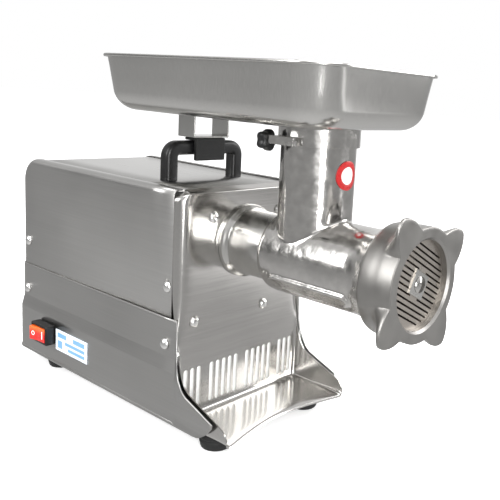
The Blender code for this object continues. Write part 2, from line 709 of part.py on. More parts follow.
def gearbox():
    """Case, cover, gears, output shaft, bearing and seal."""
    counter, motor = drive_places()
    depth = STAGE_FRONT + STAGE_STEP + STAGE_T + 0.004
    outline = box_outline(counter, motor, 0.0)
    pocket = box_outline(counter, motor, BOX_WALL)
    case = flat("gearbox_case", [outline], depth - BOX_FRONT, (0, (depth + BOX_FRONT) / 2, 0),
                "cast", "y")
    cut(case, flat("case_pocket", [pocket], depth - BOX_FRONT,
                   (0, (depth + BOX_FRONT) / 2 + BOX_WALL, 0), axis="y"))
    nose_r = NECK_BORE - 0.0008
    cut(case, turned("case_nose", rod_profile(nose_r, NOSE_L, -BOX_FRONT - 0.001),
                     (0, 0, AXIS_Z), axis="y"), "UNION")
    cut(case, turned("case_bore", rod_profile(0.0190, 0.020, -0.030), (0, 0, AXIS_Z), axis="y"))
    turned("output_bearing", tube_profile(0.0187, OUTPUT_R + GAP, 0.0, -0.012),
           (0, 0.001, AXIS_Z), "steel", "y", 24)
    turned("oil_seal", tube_profile(0.0187, OUTPUT_R + GAP, NOSE_L - 0.0005, -0.0005),
           (0, 0, AXIS_Z), "rubber", "y", 24)
    cover_y = depth + GAP
    flat("gearbox_cover", [outline, circle(0.010, 20, motor)], BOX_WALL,
                 (0, cover_y + BOX_WALL / 2, 0), "cast", "y")

    toward = math.atan2(counter[1] - AXIS_Z, counter[0])
    slow_y = STAGE_FRONT + STAGE_T / 2
    fast_y = slow_y + STAGE_STEP
    # a flat piece turned to face Y keeps u along X and v along Z
    flat("output_gear", [gear_outline(TEETH_OUTPUT, toward + math.pi / TEETH_OUTPUT),
                         circle(OUTPUT_R + GAP, 24)],
         STAGE_T, (0, slow_y, AXIS_Z), "iron", "y")
    shaft = turned("output_shaft", rod_profile(OUTPUT_R, 0.034, -depth + 0.002),
                   (0, 0, AXIS_Z), "steel", "y", 24)
    cut(shaft, turned("socket_head", rod_profile(0.0165, 0.034, 0.0105), (0, 0, AXIS_Z),
                      axis="y", steps=24), "UNION")
    cut(shaft, turned("socket_bore", rod_profile(TANG_R + GAP, 0.040, 0.014),
                      (0, 0, AXIS_Z), axis="y", steps=4))
    small = flat("countershaft", [gear_outline(TEETH_SMALL, toward + math.pi)], STAGE_T,
                 (counter[0], slow_y, counter[1]), "iron", "y")
    wheel = flat("counter_wheel", [gear_outline(TEETH_COUNTER, counter_phase(counter, motor))],
                 STAGE_T, (counter[0], fast_y, counter[1]), axis="y")
    cut(small, wheel, "UNION")
    cut(small, turned("counter_rod", rod_profile(SHAFT_R, -BOX_FRONT - BOX_WALL - GAP * 2, -depth + GAP),
                      (counter[0], 0, counter[1]), axis="y", steps=20), "UNION")


def counter_phase(counter, motor):
    """The countershaft wheel has a gap towards the motor's pinion."""
    toward = math.atan2(motor[1] - counter[1], motor[0] - counter[0])
    return toward + math.pi / TEETH_COUNTER


def box_outline(counter, motor, inset):
    """The gearbox outline: the hull of the three wheels' circles, drawn in by inset."""
    points = []
    for centre, teeth, room in (((0.0, AXIS_Z), TEETH_OUTPUT, 0.0015), (counter, TEETH_COUNTER, 0.0015),
                                (motor, TEETH_MOTOR, 0.005)):
        radius = GEAR_MODULE * (teeth / 2 + 1) + room + BOX_WALL - inset
        points += circle(radius, 28, centre)
    return hull(points)


def hull(points):
    """The convex hull of flat points, anticlockwise."""
    points = sorted(points)
    chains = []
    for ordered in (points, points[::-1]):
        chain = []
        for p in ordered:
            while len(chain) > 1 and turn(chain[-2], chain[-1], p) <= 1e-12:
                chain.pop()
            chain.append(p)
        chains += chain[:-1]
    return chains


def turn(a, b, c):
    """Positive when a, b, c turn to the left."""
    return (b[0] - a[0]) * (c[1] - a[1]) - (b[1] - a[1]) * (c[0] - a[0])


def motor():
    """Stator tube, end caps, rotor with its pinion, fan, capacitor."""
    counter, place = drive_places()
    x, z = place
    start = MOTOR_FRONT
    end = start + MOTOR_L
    turned("motor_stator", tube_profile(MOTOR_R, MOTOR_BORE, -start, -end), (x, 0, z), "iron", "y", 20)
    hub = 0.0072
    turned("motor_cap_front", [(0.030, -start + CAP_L), (MOTOR_R - 0.003, -start + 0.004),
                               (MOTOR_R, -start + GAP), (hub, -start + GAP), (hub, -start + CAP_L)],
           (x, 0, z), "cast", "y", 20)
    turned("motor_cap_rear", [(hub, -end - GAP), (MOTOR_R, -end - GAP), (MOTOR_R - 0.003, -end - 0.004),
                              (0.030, -end - CAP_L), (hub, -end - CAP_L)],
           (x, 0, z), "cast", "y", 20)
    fast_y = STAGE_FRONT + STAGE_T / 2 + STAGE_STEP
    toward = math.atan2(counter[1] - z, counter[0] - x)
    rotor = flat("motor_rotor", [gear_outline(TEETH_MOTOR, toward)], STAGE_T, (x, fast_y, z),
                 "copper", "y")
    shaft_front = -fast_y - STAGE_T / 2 + 0.001
    cut(rotor, turned("rotor_shaft", rod_profile(SHAFT_R, shaft_front, -end - 0.030), (x, 0, z),
                      axis="y", steps=20), "UNION")
    cut(rotor, turned("rotor_core", rod_profile(MOTOR_BORE - 0.001, -start - 0.006, -end + 0.006),
                      (x, 0, z), axis="y", steps=20), "UNION")
    fan_y = end + CAP_L + 0.010
    fan = []
    for i in range(8):
        a = i * math.tau / 8
        fan += [(0.012 * math.cos(a), 0.012 * math.sin(a)),
                (0.046 * math.cos(a + 0.20), 0.046 * math.sin(a + 0.20)),
                (0.046 * math.cos(a + 0.26), 0.046 * math.sin(a + 0.26)),
                (0.0135 * math.cos(a + 0.30), 0.0135 * math.sin(a + 0.30))]
    flat("motor_fan", [fan, circle(SHAFT_R + GAP, 20)], 0.014, (x, fan_y, z), "black", "y")
    turned("capacitor", rod_profile(0.020, 0.030, -0.040), (0.045, 0.150, 0.160), "white", "y", 20)


# ---------------------------------------------------------------- grinding head
def neck():
    """The welded socket on the front plate that takes the head's spigot."""
    return turned("head_neck", [
        (NECK_COLLAR_R, GAP), (NECK_COLLAR_R, 0.004), (NECK_R + 0.0012, 0.0072), (NECK_R, 0.010),
        (NECK_R, NECK_L - 0.001), (NECK_R - 0.001, NECK_L), (NECK_BORE, NECK_L), (NECK_BORE, GAP)][::-1],
        (0, 0, AXIS_Z), "cast", "y", 28)


def head_barrel():
    """The head's casting: spigot, barrel, throat and ribs, bored through."""
    r = BARREL_R
    profile = [
        (0, NOSE_L + 0.001), (SPIGOT_R, NOSE_L + 0.001),
        (SPIGOT_R, -SHOULDER_Y), (r - 0.005, -SHOULDER_Y), (r - 0.0015, -SHOULDER_Y + 0.002),
        (r, -SHOULDER_Y + 0.006), (r, -FLARE_Y), (THREAD_R - 0.0025, -THREAD_Y + 0.001),
        (THREAD_R, -THREAD_Y + 0.0035), (THREAD_R, -BARREL_FRONT), (0, -BARREL_FRONT)][::-1]
    barrel = turned("head_barrel", profile, (0, 0, AXIS_Z), "cast", "y", 32)
    top = TRAY_Z - GAP
    throat = turned("throat_solid", rod_profile(THROAT_R, top, AXIS_Z), (0, THROAT_Y, 0), steps=32)
    cut(barrel, throat, "UNION")
    for side in (-1, 1):
        cut(barrel, rib(side), "UNION")
    bore = turned("barrel_bore", [
        (0, 0.0), (SPIGOT_BORE, 0.0), (SPIGOT_BORE, -AUGER_REAR - 0.002), (BARREL_BORE, -AUGER_REAR - 0.002),
        (BARREL_BORE, -SEAT_Y - 0.010), (PLATE_R - 0.0015, -SEAT_Y - 0.010),
        (PLATE_R - 0.0015, -SEAT_Y), (PLATE_R + GAP, -SEAT_Y), (PLATE_R + GAP, 0.23), (0, 0.23)][::-1],
        (0, 0, AXIS_Z), axis="y", steps=32)
    cut(barrel, bore)
    hole = turned("throat_bore", rod_profile(THROAT_R - THROAT_WALL, top + 0.01, AXIS_Z),
                  (0, THROAT_Y, 0), steps=32)
    return cut(barrel, hole)


def rib(side):
    """A raised round-ended rib along the barrel's flank."""
    front, rear = FLARE_Y + 0.002, THROAT_Y + 0.022
    half = RIB_W / 2
    outline = (arc((rear - half, 0), half, -90, 90, 5) + arc((front + half, 0), half, 90, 270, 5))
    piece = flat(f"rib_{'left' if side < 0 else 'right'}", [outline], RIB_OUT + 0.004, (0, 0, 0))
    angle = math.radians(RIB_ANGLE)
    radius = BARREL_R + RIB_OUT / 2 - 0.002
    out = Vector((side * math.cos(angle), 0, -math.sin(angle)))
    along = Vector((0, 1, 0))
    frame = Matrix((along, out.cross(along), out)).transposed().to_4x4()
    piece.matrix_world = Matrix.Translation(Vector((0, 0, AXIS_Z)) + out * radius) @ frame
    return piece


def auger():
    """The worm: a core with a drive tang and a front pin, and one helical flight."""
    worm = turned("auger", [
        (0, 0.016), (TANG_R * 0.7, 0.016), (TANG_R * 0.7, 0.036), (SPIGOT_BORE - 0.010, 0.036),
        (SPIGOT_BORE - 0.010, -AUGER_REAR), (AUGER_CORE, -AUGER_REAR + 0.004),
        (AUGER_CORE, -AUGER_FRONT), (PIN_R, -AUGER_FRONT), (PIN_R, -NUT_FRONT - 0.004),
        (0, -NUT_FRONT - 0.004)][::-1], (0, 0, AXIS_Z), "cast", "y", 24)
    length = AUGER_REAR - AUGER_FRONT - FLIGHT_W - 0.003
    turns = length / AUGER_PITCH
    count = int(turns * 16)
    t = np.linspace(0, 1, count + 1)
    angle = t * turns * math.tau
    y = AUGER_REAR - 0.002 - FLIGHT_W / 2 - t * length
    corners = ((AUGER_CORE - 0.002, FLIGHT_W / 2), (AUGER_R, FLIGHT_W * 0.22),
               (AUGER_R, -FLIGHT_W * 0.22), (AUGER_CORE - 0.002, -FLIGHT_W / 2))
    rings = [[(r * math.cos(a), yy + dy, AXIS_Z + r * math.sin(a)) for r, dy in corners]
             for a, yy in zip(angle, y)]
    bm = bmesh.new()
    made = [[bm.verts.new(p) for p in ring] for ring in rings]
    for one, two in zip(made, made[1:]):
        for i in range(4):
            bm.faces.new((one[i], one[(i + 1) % 4], two[(i + 1) % 4], two[i]))
    bm.faces.new(made[0])
    bm.faces.new(made[-1])
    bmesh.ops.recalc_face_normals(bm, faces=bm.faces)
    return cut(worm, from_bmesh("flight", bm, None), "UNION")


def knife():
    """The four-bladed cross knife between the auger and the hole plate."""
    hub = 0.0135
    outline = []
    for i in range(4):
        a = i * math.pi / 2
        for radius, turn in ((hub, -0.42), (KNIFE_R, -0.02), (KNIFE_R, 0.20), (hub + 0.002, 0.40)):
            outline.append((radius * math.cos(a + turn), radius * math.sin(a + turn)))
    back = -SEAT_Y - GAP
    return flat("cross_knife", [outline, circle(PIN_R + GAP, 16)], KNIFE_T,
                (0, -(back - KNIFE_T / 2), AXIS_Z), "steel", "y")


def hole_plate():
    """The cutting plate: leaning parallel slots that leave a rim and a solid hub."""
    outlines = [circle(PLATE_R, 40), circle(PLATE_BORE, 16)]
    count = int(PLATE_SLOT_REACH / PLATE_SLOT_PITCH)
    for v in (np.arange(2 * count) - count + 0.5) * PLATE_SLOT_PITCH:
        end = math.sqrt(PLATE_SLOT_REACH ** 2 - v * v)
        if abs(v) < PLATE_HUB_R:
            start = math.sqrt(PLATE_HUB_R ** 2 - v * v) + 0.001
            outlines += [plate_slot(start, end, v), plate_slot(-end, -start, v)]
        elif end > 0.006:
            outlines.append(plate_slot(-end, end, v))
    return flat("hole_plate", outlines, PLATE_T, (0, SEAT_Y - GAP - PLATE_T / 2, AXIS_Z), "steel", "y")


def plate_slot(start, end, v):
    """A round-ended slot of the cutting plate, between two places along a leaning line."""
    half = PLATE_SLOT_W / 2
    points = (arc((start + half, v), half, 90, 270, 4) + arc((end - half, v), half, -90, 90, 4))
    lean = math.radians(PLATE_LEAN)
    c, s = math.cos(lean), math.sin(lean)
    return [(u * c - w * s, u * s + w * c) for u, w in points]


def ring_nut():
    """The ring nut: a four-lobed front that tapers into a conical skirt, bored for the barrel's thread."""
    nut = from_bmesh("ring_nut", lobed_solid(), "cast")
    skirt = turned("nut_skirt", [
        (0, -NUT_FRONT - 0.003), (NUT_R - 0.002, -NUT_FRONT - 0.003), (NUT_SKIRT_R, -NUT_BODY),
        (NUT_SKIRT_R - 0.001, -NUT_REAR), (0, -NUT_REAR)], (0, 0, AXIS_Z), axis="y", steps=40)
    cut(nut, skirt, "UNION")
    inner = turned("nut_bore", [
        (0, -NUT_FRONT + 0.01), (OPENING_R + 0.012, -NUT_FRONT + 0.01), (OPENING_R, -NUT_FRONT - 0.002),
        (OPENING_R, -SEAT_Y + PLATE_T + 2 * GAP), (THREAD_R + GAP, -SEAT_Y + PLATE_T + 2 * GAP),
        (THREAD_R + GAP, 0.15), (0, 0.15)], (0, 0, AXIS_Z), axis="y", steps=40)
    return cut(nut, inner)


def lobed_solid():
    """The nut's front: rings whose lobes stand out fully at the rim and fade to the skirt."""
    t = np.linspace(-1, 1, 13)
    lobe = np.concatenate([t * LOBE_HALF, np.linspace(LOBE_HALF, 90 - LOBE_HALF, 6)[1:-1]])
    swell = np.concatenate([1 - np.abs(t) ** 1.5, np.zeros(4)])
    angle = np.radians(90 + NUT_TURN + np.concatenate([lobe + 90 * i for i in range(4)]))
    swell = np.tile(swell, 4) * NUT_LOBE
    bm = bmesh.new()
    rings = []
    for y, share in ((NUT_FRONT, 1.0), (NUT_FRONT + NUT_RIM, 1.0), (NUT_BODY, 0.0)):
        radius = NUT_R + swell * share
        rings.append([bm.verts.new((r * math.cos(a), y, AXIS_Z + r * math.sin(a))) for r, a in zip(radius, angle)])
    for one, two in zip(rings, rings[1:]):
        for i, corner in enumerate(one):
            bm.faces.new((one[i - 1], corner, two[i], two[i - 1]))
    bm.faces.new(rings[0])
    bm.faces.new(rings[-1])
    bmesh.ops.recalc_face_normals(bm, faces=bm.faces)
    return bm


def star(name, at, axis, stem, finish="black"):
    """A five-lobed hand knob with its screw stem."""
    outline = []
    for i in range(40):
        a = i * math.tau / 40
        radius = KNOB_R * (0.90 + 0.10 * math.cos(5 * a))
        outline.append((radius * math.cos(a), radius * math.sin(a)))
    knob = flat(name, [outline], KNOB_T, at, finish, axis)
    length = Vector(stem)
    rod = turned(name + "_stem", rod_profile(0.0028, length.length, 0.0), at)
    rod.matrix_world = Matrix.Translation(at) @ length.to_track_quat("Z", "Y").to_matrix().to_4x4()
    return cut(knob, rod, "UNION")


def head():
    """Neck, barrel and everything that the ring nut holds in it."""
    neck()
    head_barrel()
    auger()
    knife()
    hole_plate()
    ring_nut()
    turned("auger_bush", tube_profile(SPIGOT_BORE - GAP * 2, SPIGOT_BORE - 0.010 + GAP, 0.049, 0.040),
           (0, 0, AXIS_Z), "nylon", "y", 24)
    star("head_lock_knob", (NECK_R + 0.026, -0.024, AXIS_Z), "x", (-0.0255, 0, 0))
    radius = THROAT_R + GAP
    angles = np.radians(np.linspace(-22, 22, 5))
    rows = []
    for t in np.linspace(-1, 1, 7):
        width = math.sqrt(max(0.0, 1 - (t * 0.98) ** 2))
        rows.append([(radius * math.sin(a * width), THROAT_Y - radius * math.cos(a * width),
                      0.245 + 0.013 * t) for a in angles])
    shell("throat_badge", rows, 0.0006, "white", offset=1.0)


# ---------------------------------------------------------------- tray
def tray():
    """The feed tray: tapered sides, wide corner radii, a lip, and the throat's hole."""
    length = TRAY_REAR - TRAY_FRONT
    width, long_ = TRAY_W - 2 * TRAY_LIP, length - 2 * TRAY_LIP
    bm = bmesh.new()
    bmesh.ops.create_cube(bm, size=1.0)
    bmesh.ops.scale(bm, vec=(width, long_, TRAY_DEPTH), verts=bm.verts)
    for vert in bm.verts:
        if vert.co.z < 0:
            vert.co.x -= math.copysign(TRAY_TAPER, vert.co.x)
            vert.co.y -= math.copysign(TRAY_TAPER, vert.co.y)
    upright = [e for e in bm.edges if e.verts[0].co.z * e.verts[1].co.z < 0]
    bmesh.ops.bevel(bm, geom=upright, offset=TRAY_CORNER, segments=5, affect="EDGES", profile=0.5)
    floor = min(bm.faces, key=lambda f: f.calc_center_median().z)
    bmesh.ops.bevel(bm, geom=list(floor.edges), offset=TRAY_FOOT, segments=3, affect="EDGES", profile=0.5)
    lid = max(bm.faces, key=lambda f: f.calc_center_median().z)
    rim = list(lid.edges)
    bmesh.ops.delete(bm, geom=[lid], context="FACES_ONLY")
    tray_lip(bm, rim, width, long_)
    obj = from_bmesh("feed_tray", bm, "polished",
                     (0, (TRAY_FRONT + TRAY_REAR) / 2, TRAY_Z + TRAY_DEPTH / 2))
    thicken(obj, TRAY_SHEET)
    hole = turned("tray_hole", rod_profile(THROAT_R - THROAT_WALL, TRAY_Z + 0.02, TRAY_Z - 0.02),
                  (0, THROAT_Y, 0), steps=32)
    return cut(obj, hole)


def tray_lip(bm, rim, width, long_):
    """Draw the rim outward into a lip with a short turned-down edge."""
    for grow, drop in ((TRAY_LIP, 0.0), (0.0, 0.003)):
        made = bmesh.ops.extrude_edge_only(bm, edges=rim)["geom"]
        verts = [g for g in made if isinstance(g, bmesh.types.BMVert)]
        rim = [g for g in made if isinstance(g, bmesh.types.BMEdge)]
        for vert in verts:
            vert.co.x *= 1 + 2 * grow / width
            vert.co.y *= 1 + 2 * grow / long_
            vert.co.z -= drop


def tray_mount():
    """Collar and clamp knob at the throat, bracket and saddle at the handle."""
    inner, outer = THROAT_R + GAP, THROAT_R + GAP + COLLAR_WALL
    high = TRAY_Z - GAP
    collar = turned("tray_collar", tube_profile(outer, inner, high, COLLAR_Z), (0, THROAT_Y, 0),
                    "cast", steps=32)
    knob_y = -0.063
    stem = 0.030
    cut(collar, box("clamp_lug", (CLAMP_X - 0.0045, knob_y - KNOB_T / 2 - stem, COLLAR_Z + 0.0004),
                    (-inner - 0.0006, knob_y - KNOB_T / 2 - 0.0006, CLAMP_Z + 0.005)), "UNION")
    cut(collar, turned("clamp_hole", rod_profile(0.0031, -knob_y + KNOB_T / 2 + stem + 0.005, -knob_y),
                       (CLAMP_X, 0, CLAMP_Z), axis="y", steps=16))
    cut(collar, turned("collar_bore", rod_profile(inner, high + 0.01, COLLAR_Z - 0.01),
                       (0, THROAT_Y, 0), steps=32))
    star("tray_knob", (CLAMP_X, knob_y, CLAMP_Z), "y", (0, -0.034, 0))

    bar_top = BODY_H - SHEET + HANDLE_H
    web = bar_top + GAP + 0.0030 + GAP
    half, deep = BRACKET_W / 2, BRACKET_D / 2
    high = TRAY_Z - GAP
    section = [(-half, high), (-half, web), (half, web), (half, high)]
    rows = [[(x, HANDLE_Y + y, z) for y in (-deep, deep)] for x, z in section]
    shell("tray_bracket", rows, 0.0015, "steel")
    low = bar_top - SADDLE_FLAP
    front = HANDLE_Y - HANDLE_T / 2 - GAP
    block = box("tray_saddle", (-SADDLE_W / 2, front - 0.005, bar_top + GAP),
                (SADDLE_W / 2, HANDLE_Y + HANDLE_T / 2, web - GAP), "rubber")
    cut(block, box("saddle_flap", (-SADDLE_W / 2, front - 0.005, low),
                   (SADDLE_W / 2, front, bar_top + GAP + 0.001)), "UNION")


# ---------------------------------------------------------------- assembly
def stand_on_origin():
    """Parent all parts to one empty that centres their box in plan and stands it on z = 0."""
    bpy.context.view_layer.update()
    depsgraph = bpy.context.evaluated_depsgraph_get()
    parts = list(bpy.data.collections["meat_grinder"].objects)
    lows, highs = [], []
    for obj in parts:
        seen = obj.evaluated_get(depsgraph)
        mesh = seen.to_mesh()
        points = np.empty(len(mesh.vertices) * 3, np.float32)
        mesh.vertices.foreach_get("co", points)
        world = np.c_[points.reshape(-1, 3), np.ones(len(points) // 3)] @ np.array(obj.matrix_world).T
        lows.append(world[:, :3].min(0))
        highs.append(world[:, :3].max(0))
        seen.to_mesh_clear()
    low, high = np.min(lows, 0), np.max(highs, 0)
    root = bpy.data.objects.new("meat_grinder", None)
    bpy.data.collections["meat_grinder"].objects.link(root)
    everything = parts + list(bpy.data.collections["cutters"].objects)
    for obj in everything:
        obj.parent = root
    root.location = (-(low[0] + high[0]) / 2, -(low[1] + high[1]) / 2, -low[2])
    print("box", low.round(5).tolist(), high.round(5).tolist())
    print("moved by", [round(float(v), 5) for v in root.location])


def shade_round():
    """Settle every part's modifiers into its mesh and shade its round faces smooth."""
    bpy.context.view_layer.update()
    depsgraph = bpy.context.evaluated_depsgraph_get()
    parts = [obj for obj in bpy.data.collections["meat_grinder"].objects if obj.type == "MESH"]
    meshes = [bpy.data.meshes.new_from_object(obj.evaluated_get(depsgraph)) for obj in parts]
    for obj, mesh in zip(parts, meshes):
        obj.modifiers.clear()
        obj.data = mesh
        mesh.shade_smooth()
        mesh.set_sharp_from_angle(angle=math.radians(35))


def main():
    """Build the whole grinder."""
    clear_scene()
    body()
    handle()
    gearbox()
    motor()
    head()
    tray()
    tray_mount()
    shade_round()
    stand_on_origin()


main()
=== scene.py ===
"""Electric meat grinder: the looks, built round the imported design.

Every piece is worked out in the design's own datum: x = 0 on the grinding axis, y = 0 on the front plate's
face with the front towards -y, and z = 0 on the lower rim of the base pan. Metres throughout.
"""
import json
import logging
import math
from dataclasses import dataclass
from enum import Enum
from typing import Sequence

import bmesh
import bpy
import numpy as np
from mathutils import Matrix, Vector


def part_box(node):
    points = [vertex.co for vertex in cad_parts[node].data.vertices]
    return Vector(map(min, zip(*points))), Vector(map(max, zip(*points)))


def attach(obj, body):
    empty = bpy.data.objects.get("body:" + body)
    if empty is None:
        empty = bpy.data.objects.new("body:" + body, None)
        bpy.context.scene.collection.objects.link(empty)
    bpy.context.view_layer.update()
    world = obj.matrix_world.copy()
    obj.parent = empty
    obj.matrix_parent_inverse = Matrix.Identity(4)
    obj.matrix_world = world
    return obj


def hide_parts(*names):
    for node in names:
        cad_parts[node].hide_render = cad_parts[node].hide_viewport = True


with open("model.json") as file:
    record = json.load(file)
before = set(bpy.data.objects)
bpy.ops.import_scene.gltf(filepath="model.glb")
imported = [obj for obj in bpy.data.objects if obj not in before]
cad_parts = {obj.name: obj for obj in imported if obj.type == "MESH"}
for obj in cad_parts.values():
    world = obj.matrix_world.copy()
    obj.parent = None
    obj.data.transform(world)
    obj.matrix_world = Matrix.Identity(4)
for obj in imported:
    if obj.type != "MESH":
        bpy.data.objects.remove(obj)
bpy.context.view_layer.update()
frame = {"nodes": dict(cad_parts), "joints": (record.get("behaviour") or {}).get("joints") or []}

LOG = logging.getLogger("meat_grinder")
MM = 0.001
GAP = 0.3 * MM
POLE = 0.02 * MM  # a turned solid's radius on its own axis, small enough for its cap to be unseen

# Sizes and places that more than one sub-assembly shares.
BODY_HALF = 80.5 * MM
SHEET = 1.2 * MM
AXIS_Z = 166 * MM
THROAT_Y = -87 * MM
SWITCH_Y = 218 * MM
SWITCH_Z = 33 * MM


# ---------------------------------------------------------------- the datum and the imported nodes
@dataclass(frozen=True)
class Datum:
    """Where the design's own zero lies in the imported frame."""

    x: float
    y: float
    z: float

    @classmethod
    def from_frame(cls) -> "Datum":
        """Read the datum: the grinding axis, the neck's seat and the pan's lower rim.

        Returns:
            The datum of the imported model.
        """
        spin = next(joint for joint in frame["joints"] if joint["name"] == "output_spin")
        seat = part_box("head_neck")[1][1] + GAP
        return cls(spin["pos_m"][0], seat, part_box("base_pan")[0][2])

    def place(self, points: np.ndarray) -> np.ndarray:
        """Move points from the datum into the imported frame."""
        return np.asarray(points, float) + (self.x, self.y, self.z)

    def box(self, node: str) -> tuple[np.ndarray, np.ndarray]:
        """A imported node's box, measured from the datum.

        Args:
            node: The node.

        Returns:
            Its lowest and its highest corner.
        """
        low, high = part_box(node)
        shift = np.array((self.x, self.y, self.z))
        return np.array(low) - shift, np.array(high) - shift


DATUM = Datum.from_frame()


# ---------------------------------------------------------------- node helpers and colours
def linear(hex_colour: str) -> tuple[float, float, float, float]:
    """Turn an sRGB hex colour into linear values.

    Args:
        hex_colour: The colour as #rrggbb.

    Returns:
        Its linear red, green and blue, with full alpha.
    """
    srgb = np.array([int(hex_colour[i:i + 2], 16) for i in (1, 3, 5)]) / 255.0
    value = np.where(srgb <= 0.04045, srgb / 12.92, ((srgb + 0.055) / 1.055) ** 2.4)
    return (*(float(v) for v in value), 1.0)


def add_node(tree: bpy.types.NodeTree, kind: str, inputs: dict | None = None,
             **settings: object) -> bpy.types.Node:
    """Add a node with its settings and inputs.

    Args:
        tree: The tree that the node goes in.
        kind: Its type name.
        inputs: Values or output sockets by input name or number.
        settings: Attributes of the node itself.

    Returns:
        The new node.
    """
    node = tree.nodes.new(kind)
    for name, value in settings.items():
        setattr(node, name, value)
    for name, value in (inputs or {}).items():
        if isinstance(value, bpy.types.NodeSocket):
            tree.links.new(value, node.inputs[name])
        else:
            node.inputs[name].default_value = value
    return node


def ramp(tree: bpy.types.NodeTree, source: bpy.types.NodeSocket,
         stops: Sequence[tuple]) -> bpy.types.NodeSocket:
    """Map a value to colours.

    Args:
        tree: The tree that the ramp goes in.
        source: The value that it reads.
        stops: Pairs of position and linear colour or grey value.

    Returns:
        The ramp's colour output.
    """
    node = add_node(tree, "ShaderNodeValToRGB", {"Fac": source})
    band = node.color_ramp
    while len(band.elements) < len(stops):
        band.elements.new(0.5)
    for element, (position, colour) in zip(band.elements, stops):
        element.position = position
        element.color = colour if isinstance(colour, tuple) else (colour, colour, colour, 1.0)
    return node.outputs["Color"]


# ---------------------------------------------------------------- finishes
class Grain(Enum):
    """Which way the lines of a brushed sheet run, as noise scales in lines per metre along x, y and z."""

    ALONG_Y = (900.0, 9.0, 900.0)
    ALONG_Z = (900.0, 900.0, 9.0)
    ALONG_X = (9.0, 900.0, 900.0)
    NONE = (160.0, 160.0, 160.0)


@dataclass(frozen=True)
class Finish:
    """What every finish has: a real material's name, its colour and its gloss."""

    name: str
    colour: str
    roughness: float
    metallic: float = 0.0

    def material(self) -> bpy.types.Material:
        """Make the material once and hand it out again after that.

        Returns:
            The material of this finish.
        """
        found = bpy.data.materials.get(self.name)
        if found:
            return found
        made = bpy.data.materials.new(self.name)
        made.use_nodes = True
        tree = made.node_tree
        shader = tree.nodes["Principled BSDF"]
        shader.inputs["Base Color"].default_value = linear(self.colour)
        shader.inputs["Roughness"].default_value = self.roughness
        shader.inputs["Metallic"].default_value = self.metallic
        self.dress(tree, shader, add_node(tree, "ShaderNodeTexCoord").outputs["Object"])
        return made

    def dress(self, tree: bpy.types.NodeTree, shader: bpy.types.Node, place: bpy.types.NodeSocket) -> None:
        """Add the finish's own pattern to its shader.

        Args:
            tree: The material's tree.
            shader: Its Principled shader.
            place: Object coordinates, in metres.
        """

    def vary(self, tree: bpy.types.NodeTree, shader: bpy.types.Node, noise: bpy.types.NodeSocket,
             roughness: float, shade: float) -> None:
        """Let a noise change the roughness and the shade a little.

        Args:
            tree: The material's tree.
            shader: Its Principled shader.
            noise: A value from 0 to 1.
            roughness: How far the roughness goes either way.
            shade: How far the colour darkens at the noise's low end.
        """
        spread = add_node(tree, "ShaderNodeMapRange", {
            "Value": noise, "From Min": 0.3, "From Max": 0.7,
            "To Min": self.roughness - roughness, "To Max": self.roughness + roughness})
        tree.links.new(spread.outputs["Result"], shader.inputs["Roughness"])
        bright = linear(self.colour)
        dark = (*(c * (1 - shade) for c in bright[:3]), 1.0)
        tree.links.new(ramp(tree, noise, ((0.3, dark), (0.7, bright))), shader.inputs["Base Color"])

    def bump(self, tree: bpy.types.NodeTree, shader: bpy.types.Node, height: bpy.types.NodeSocket,
             depth: float) -> None:
        """Let a height pattern lean the surface.

        Args:
            tree: The material's tree.
            shader: Its Principled shader.
            height: The pattern, from 0 to 1.
            depth: How deep the real pattern is, in metres.
        """
        node = add_node(tree, "ShaderNodeBump", {"Height": height, "Distance": depth, "Strength": 1.0})
        tree.links.new(node.outputs["Normal"], shader.inputs["Normal"])


@dataclass(frozen=True)
class BrushedSteel(Finish):
    """Stainless sheet with a linear grain: fine lines that spread each reflection across themselves.

    Real grain is 0.1 mm apart. It is drawn about 1 mm apart, as coarse as it needs to be to show.
    The handling marks over it are some 90 mm apart.
    """

    grain: Grain = Grain.ALONG_Y
    depth: float = 0.004 * MM
    metallic: float = 1.0
    marks: float = 11.0
    marks_share: float = 0.45

    def dress(self, tree: bpy.types.NodeTree, shader: bpy.types.Node, place: bpy.types.NodeSocket) -> None:
        """Stretch one noise along the grain for lines, and use a broad one for handling marks.

        Args:
            tree: The material's tree.
            shader: Its Principled shader.
            place: Object coordinates, in metres.
        """
        lines_at = add_node(tree, "ShaderNodeMapping", {"Vector": place, "Scale": self.grain.value})
        lines = add_node(tree, "ShaderNodeTexNoise", {"Vector": lines_at.outputs[0], "Scale": 1.0,
                                                      "Detail": 3.0, "Roughness": 0.6})
        marks = add_node(tree, "ShaderNodeTexNoise", {"Vector": place, "Scale": self.marks, "Detail": 2.0})
        both = add_node(tree, "ShaderNodeMix", {"Factor": self.marks_share, 2: lines.outputs["Fac"],
                                                3: marks.outputs["Fac"]}, data_type="FLOAT")
        self.vary(tree, shader, both.outputs[0], 0.05, 0.12)
        self.bump(tree, shader, lines.outputs["Fac"], self.depth)


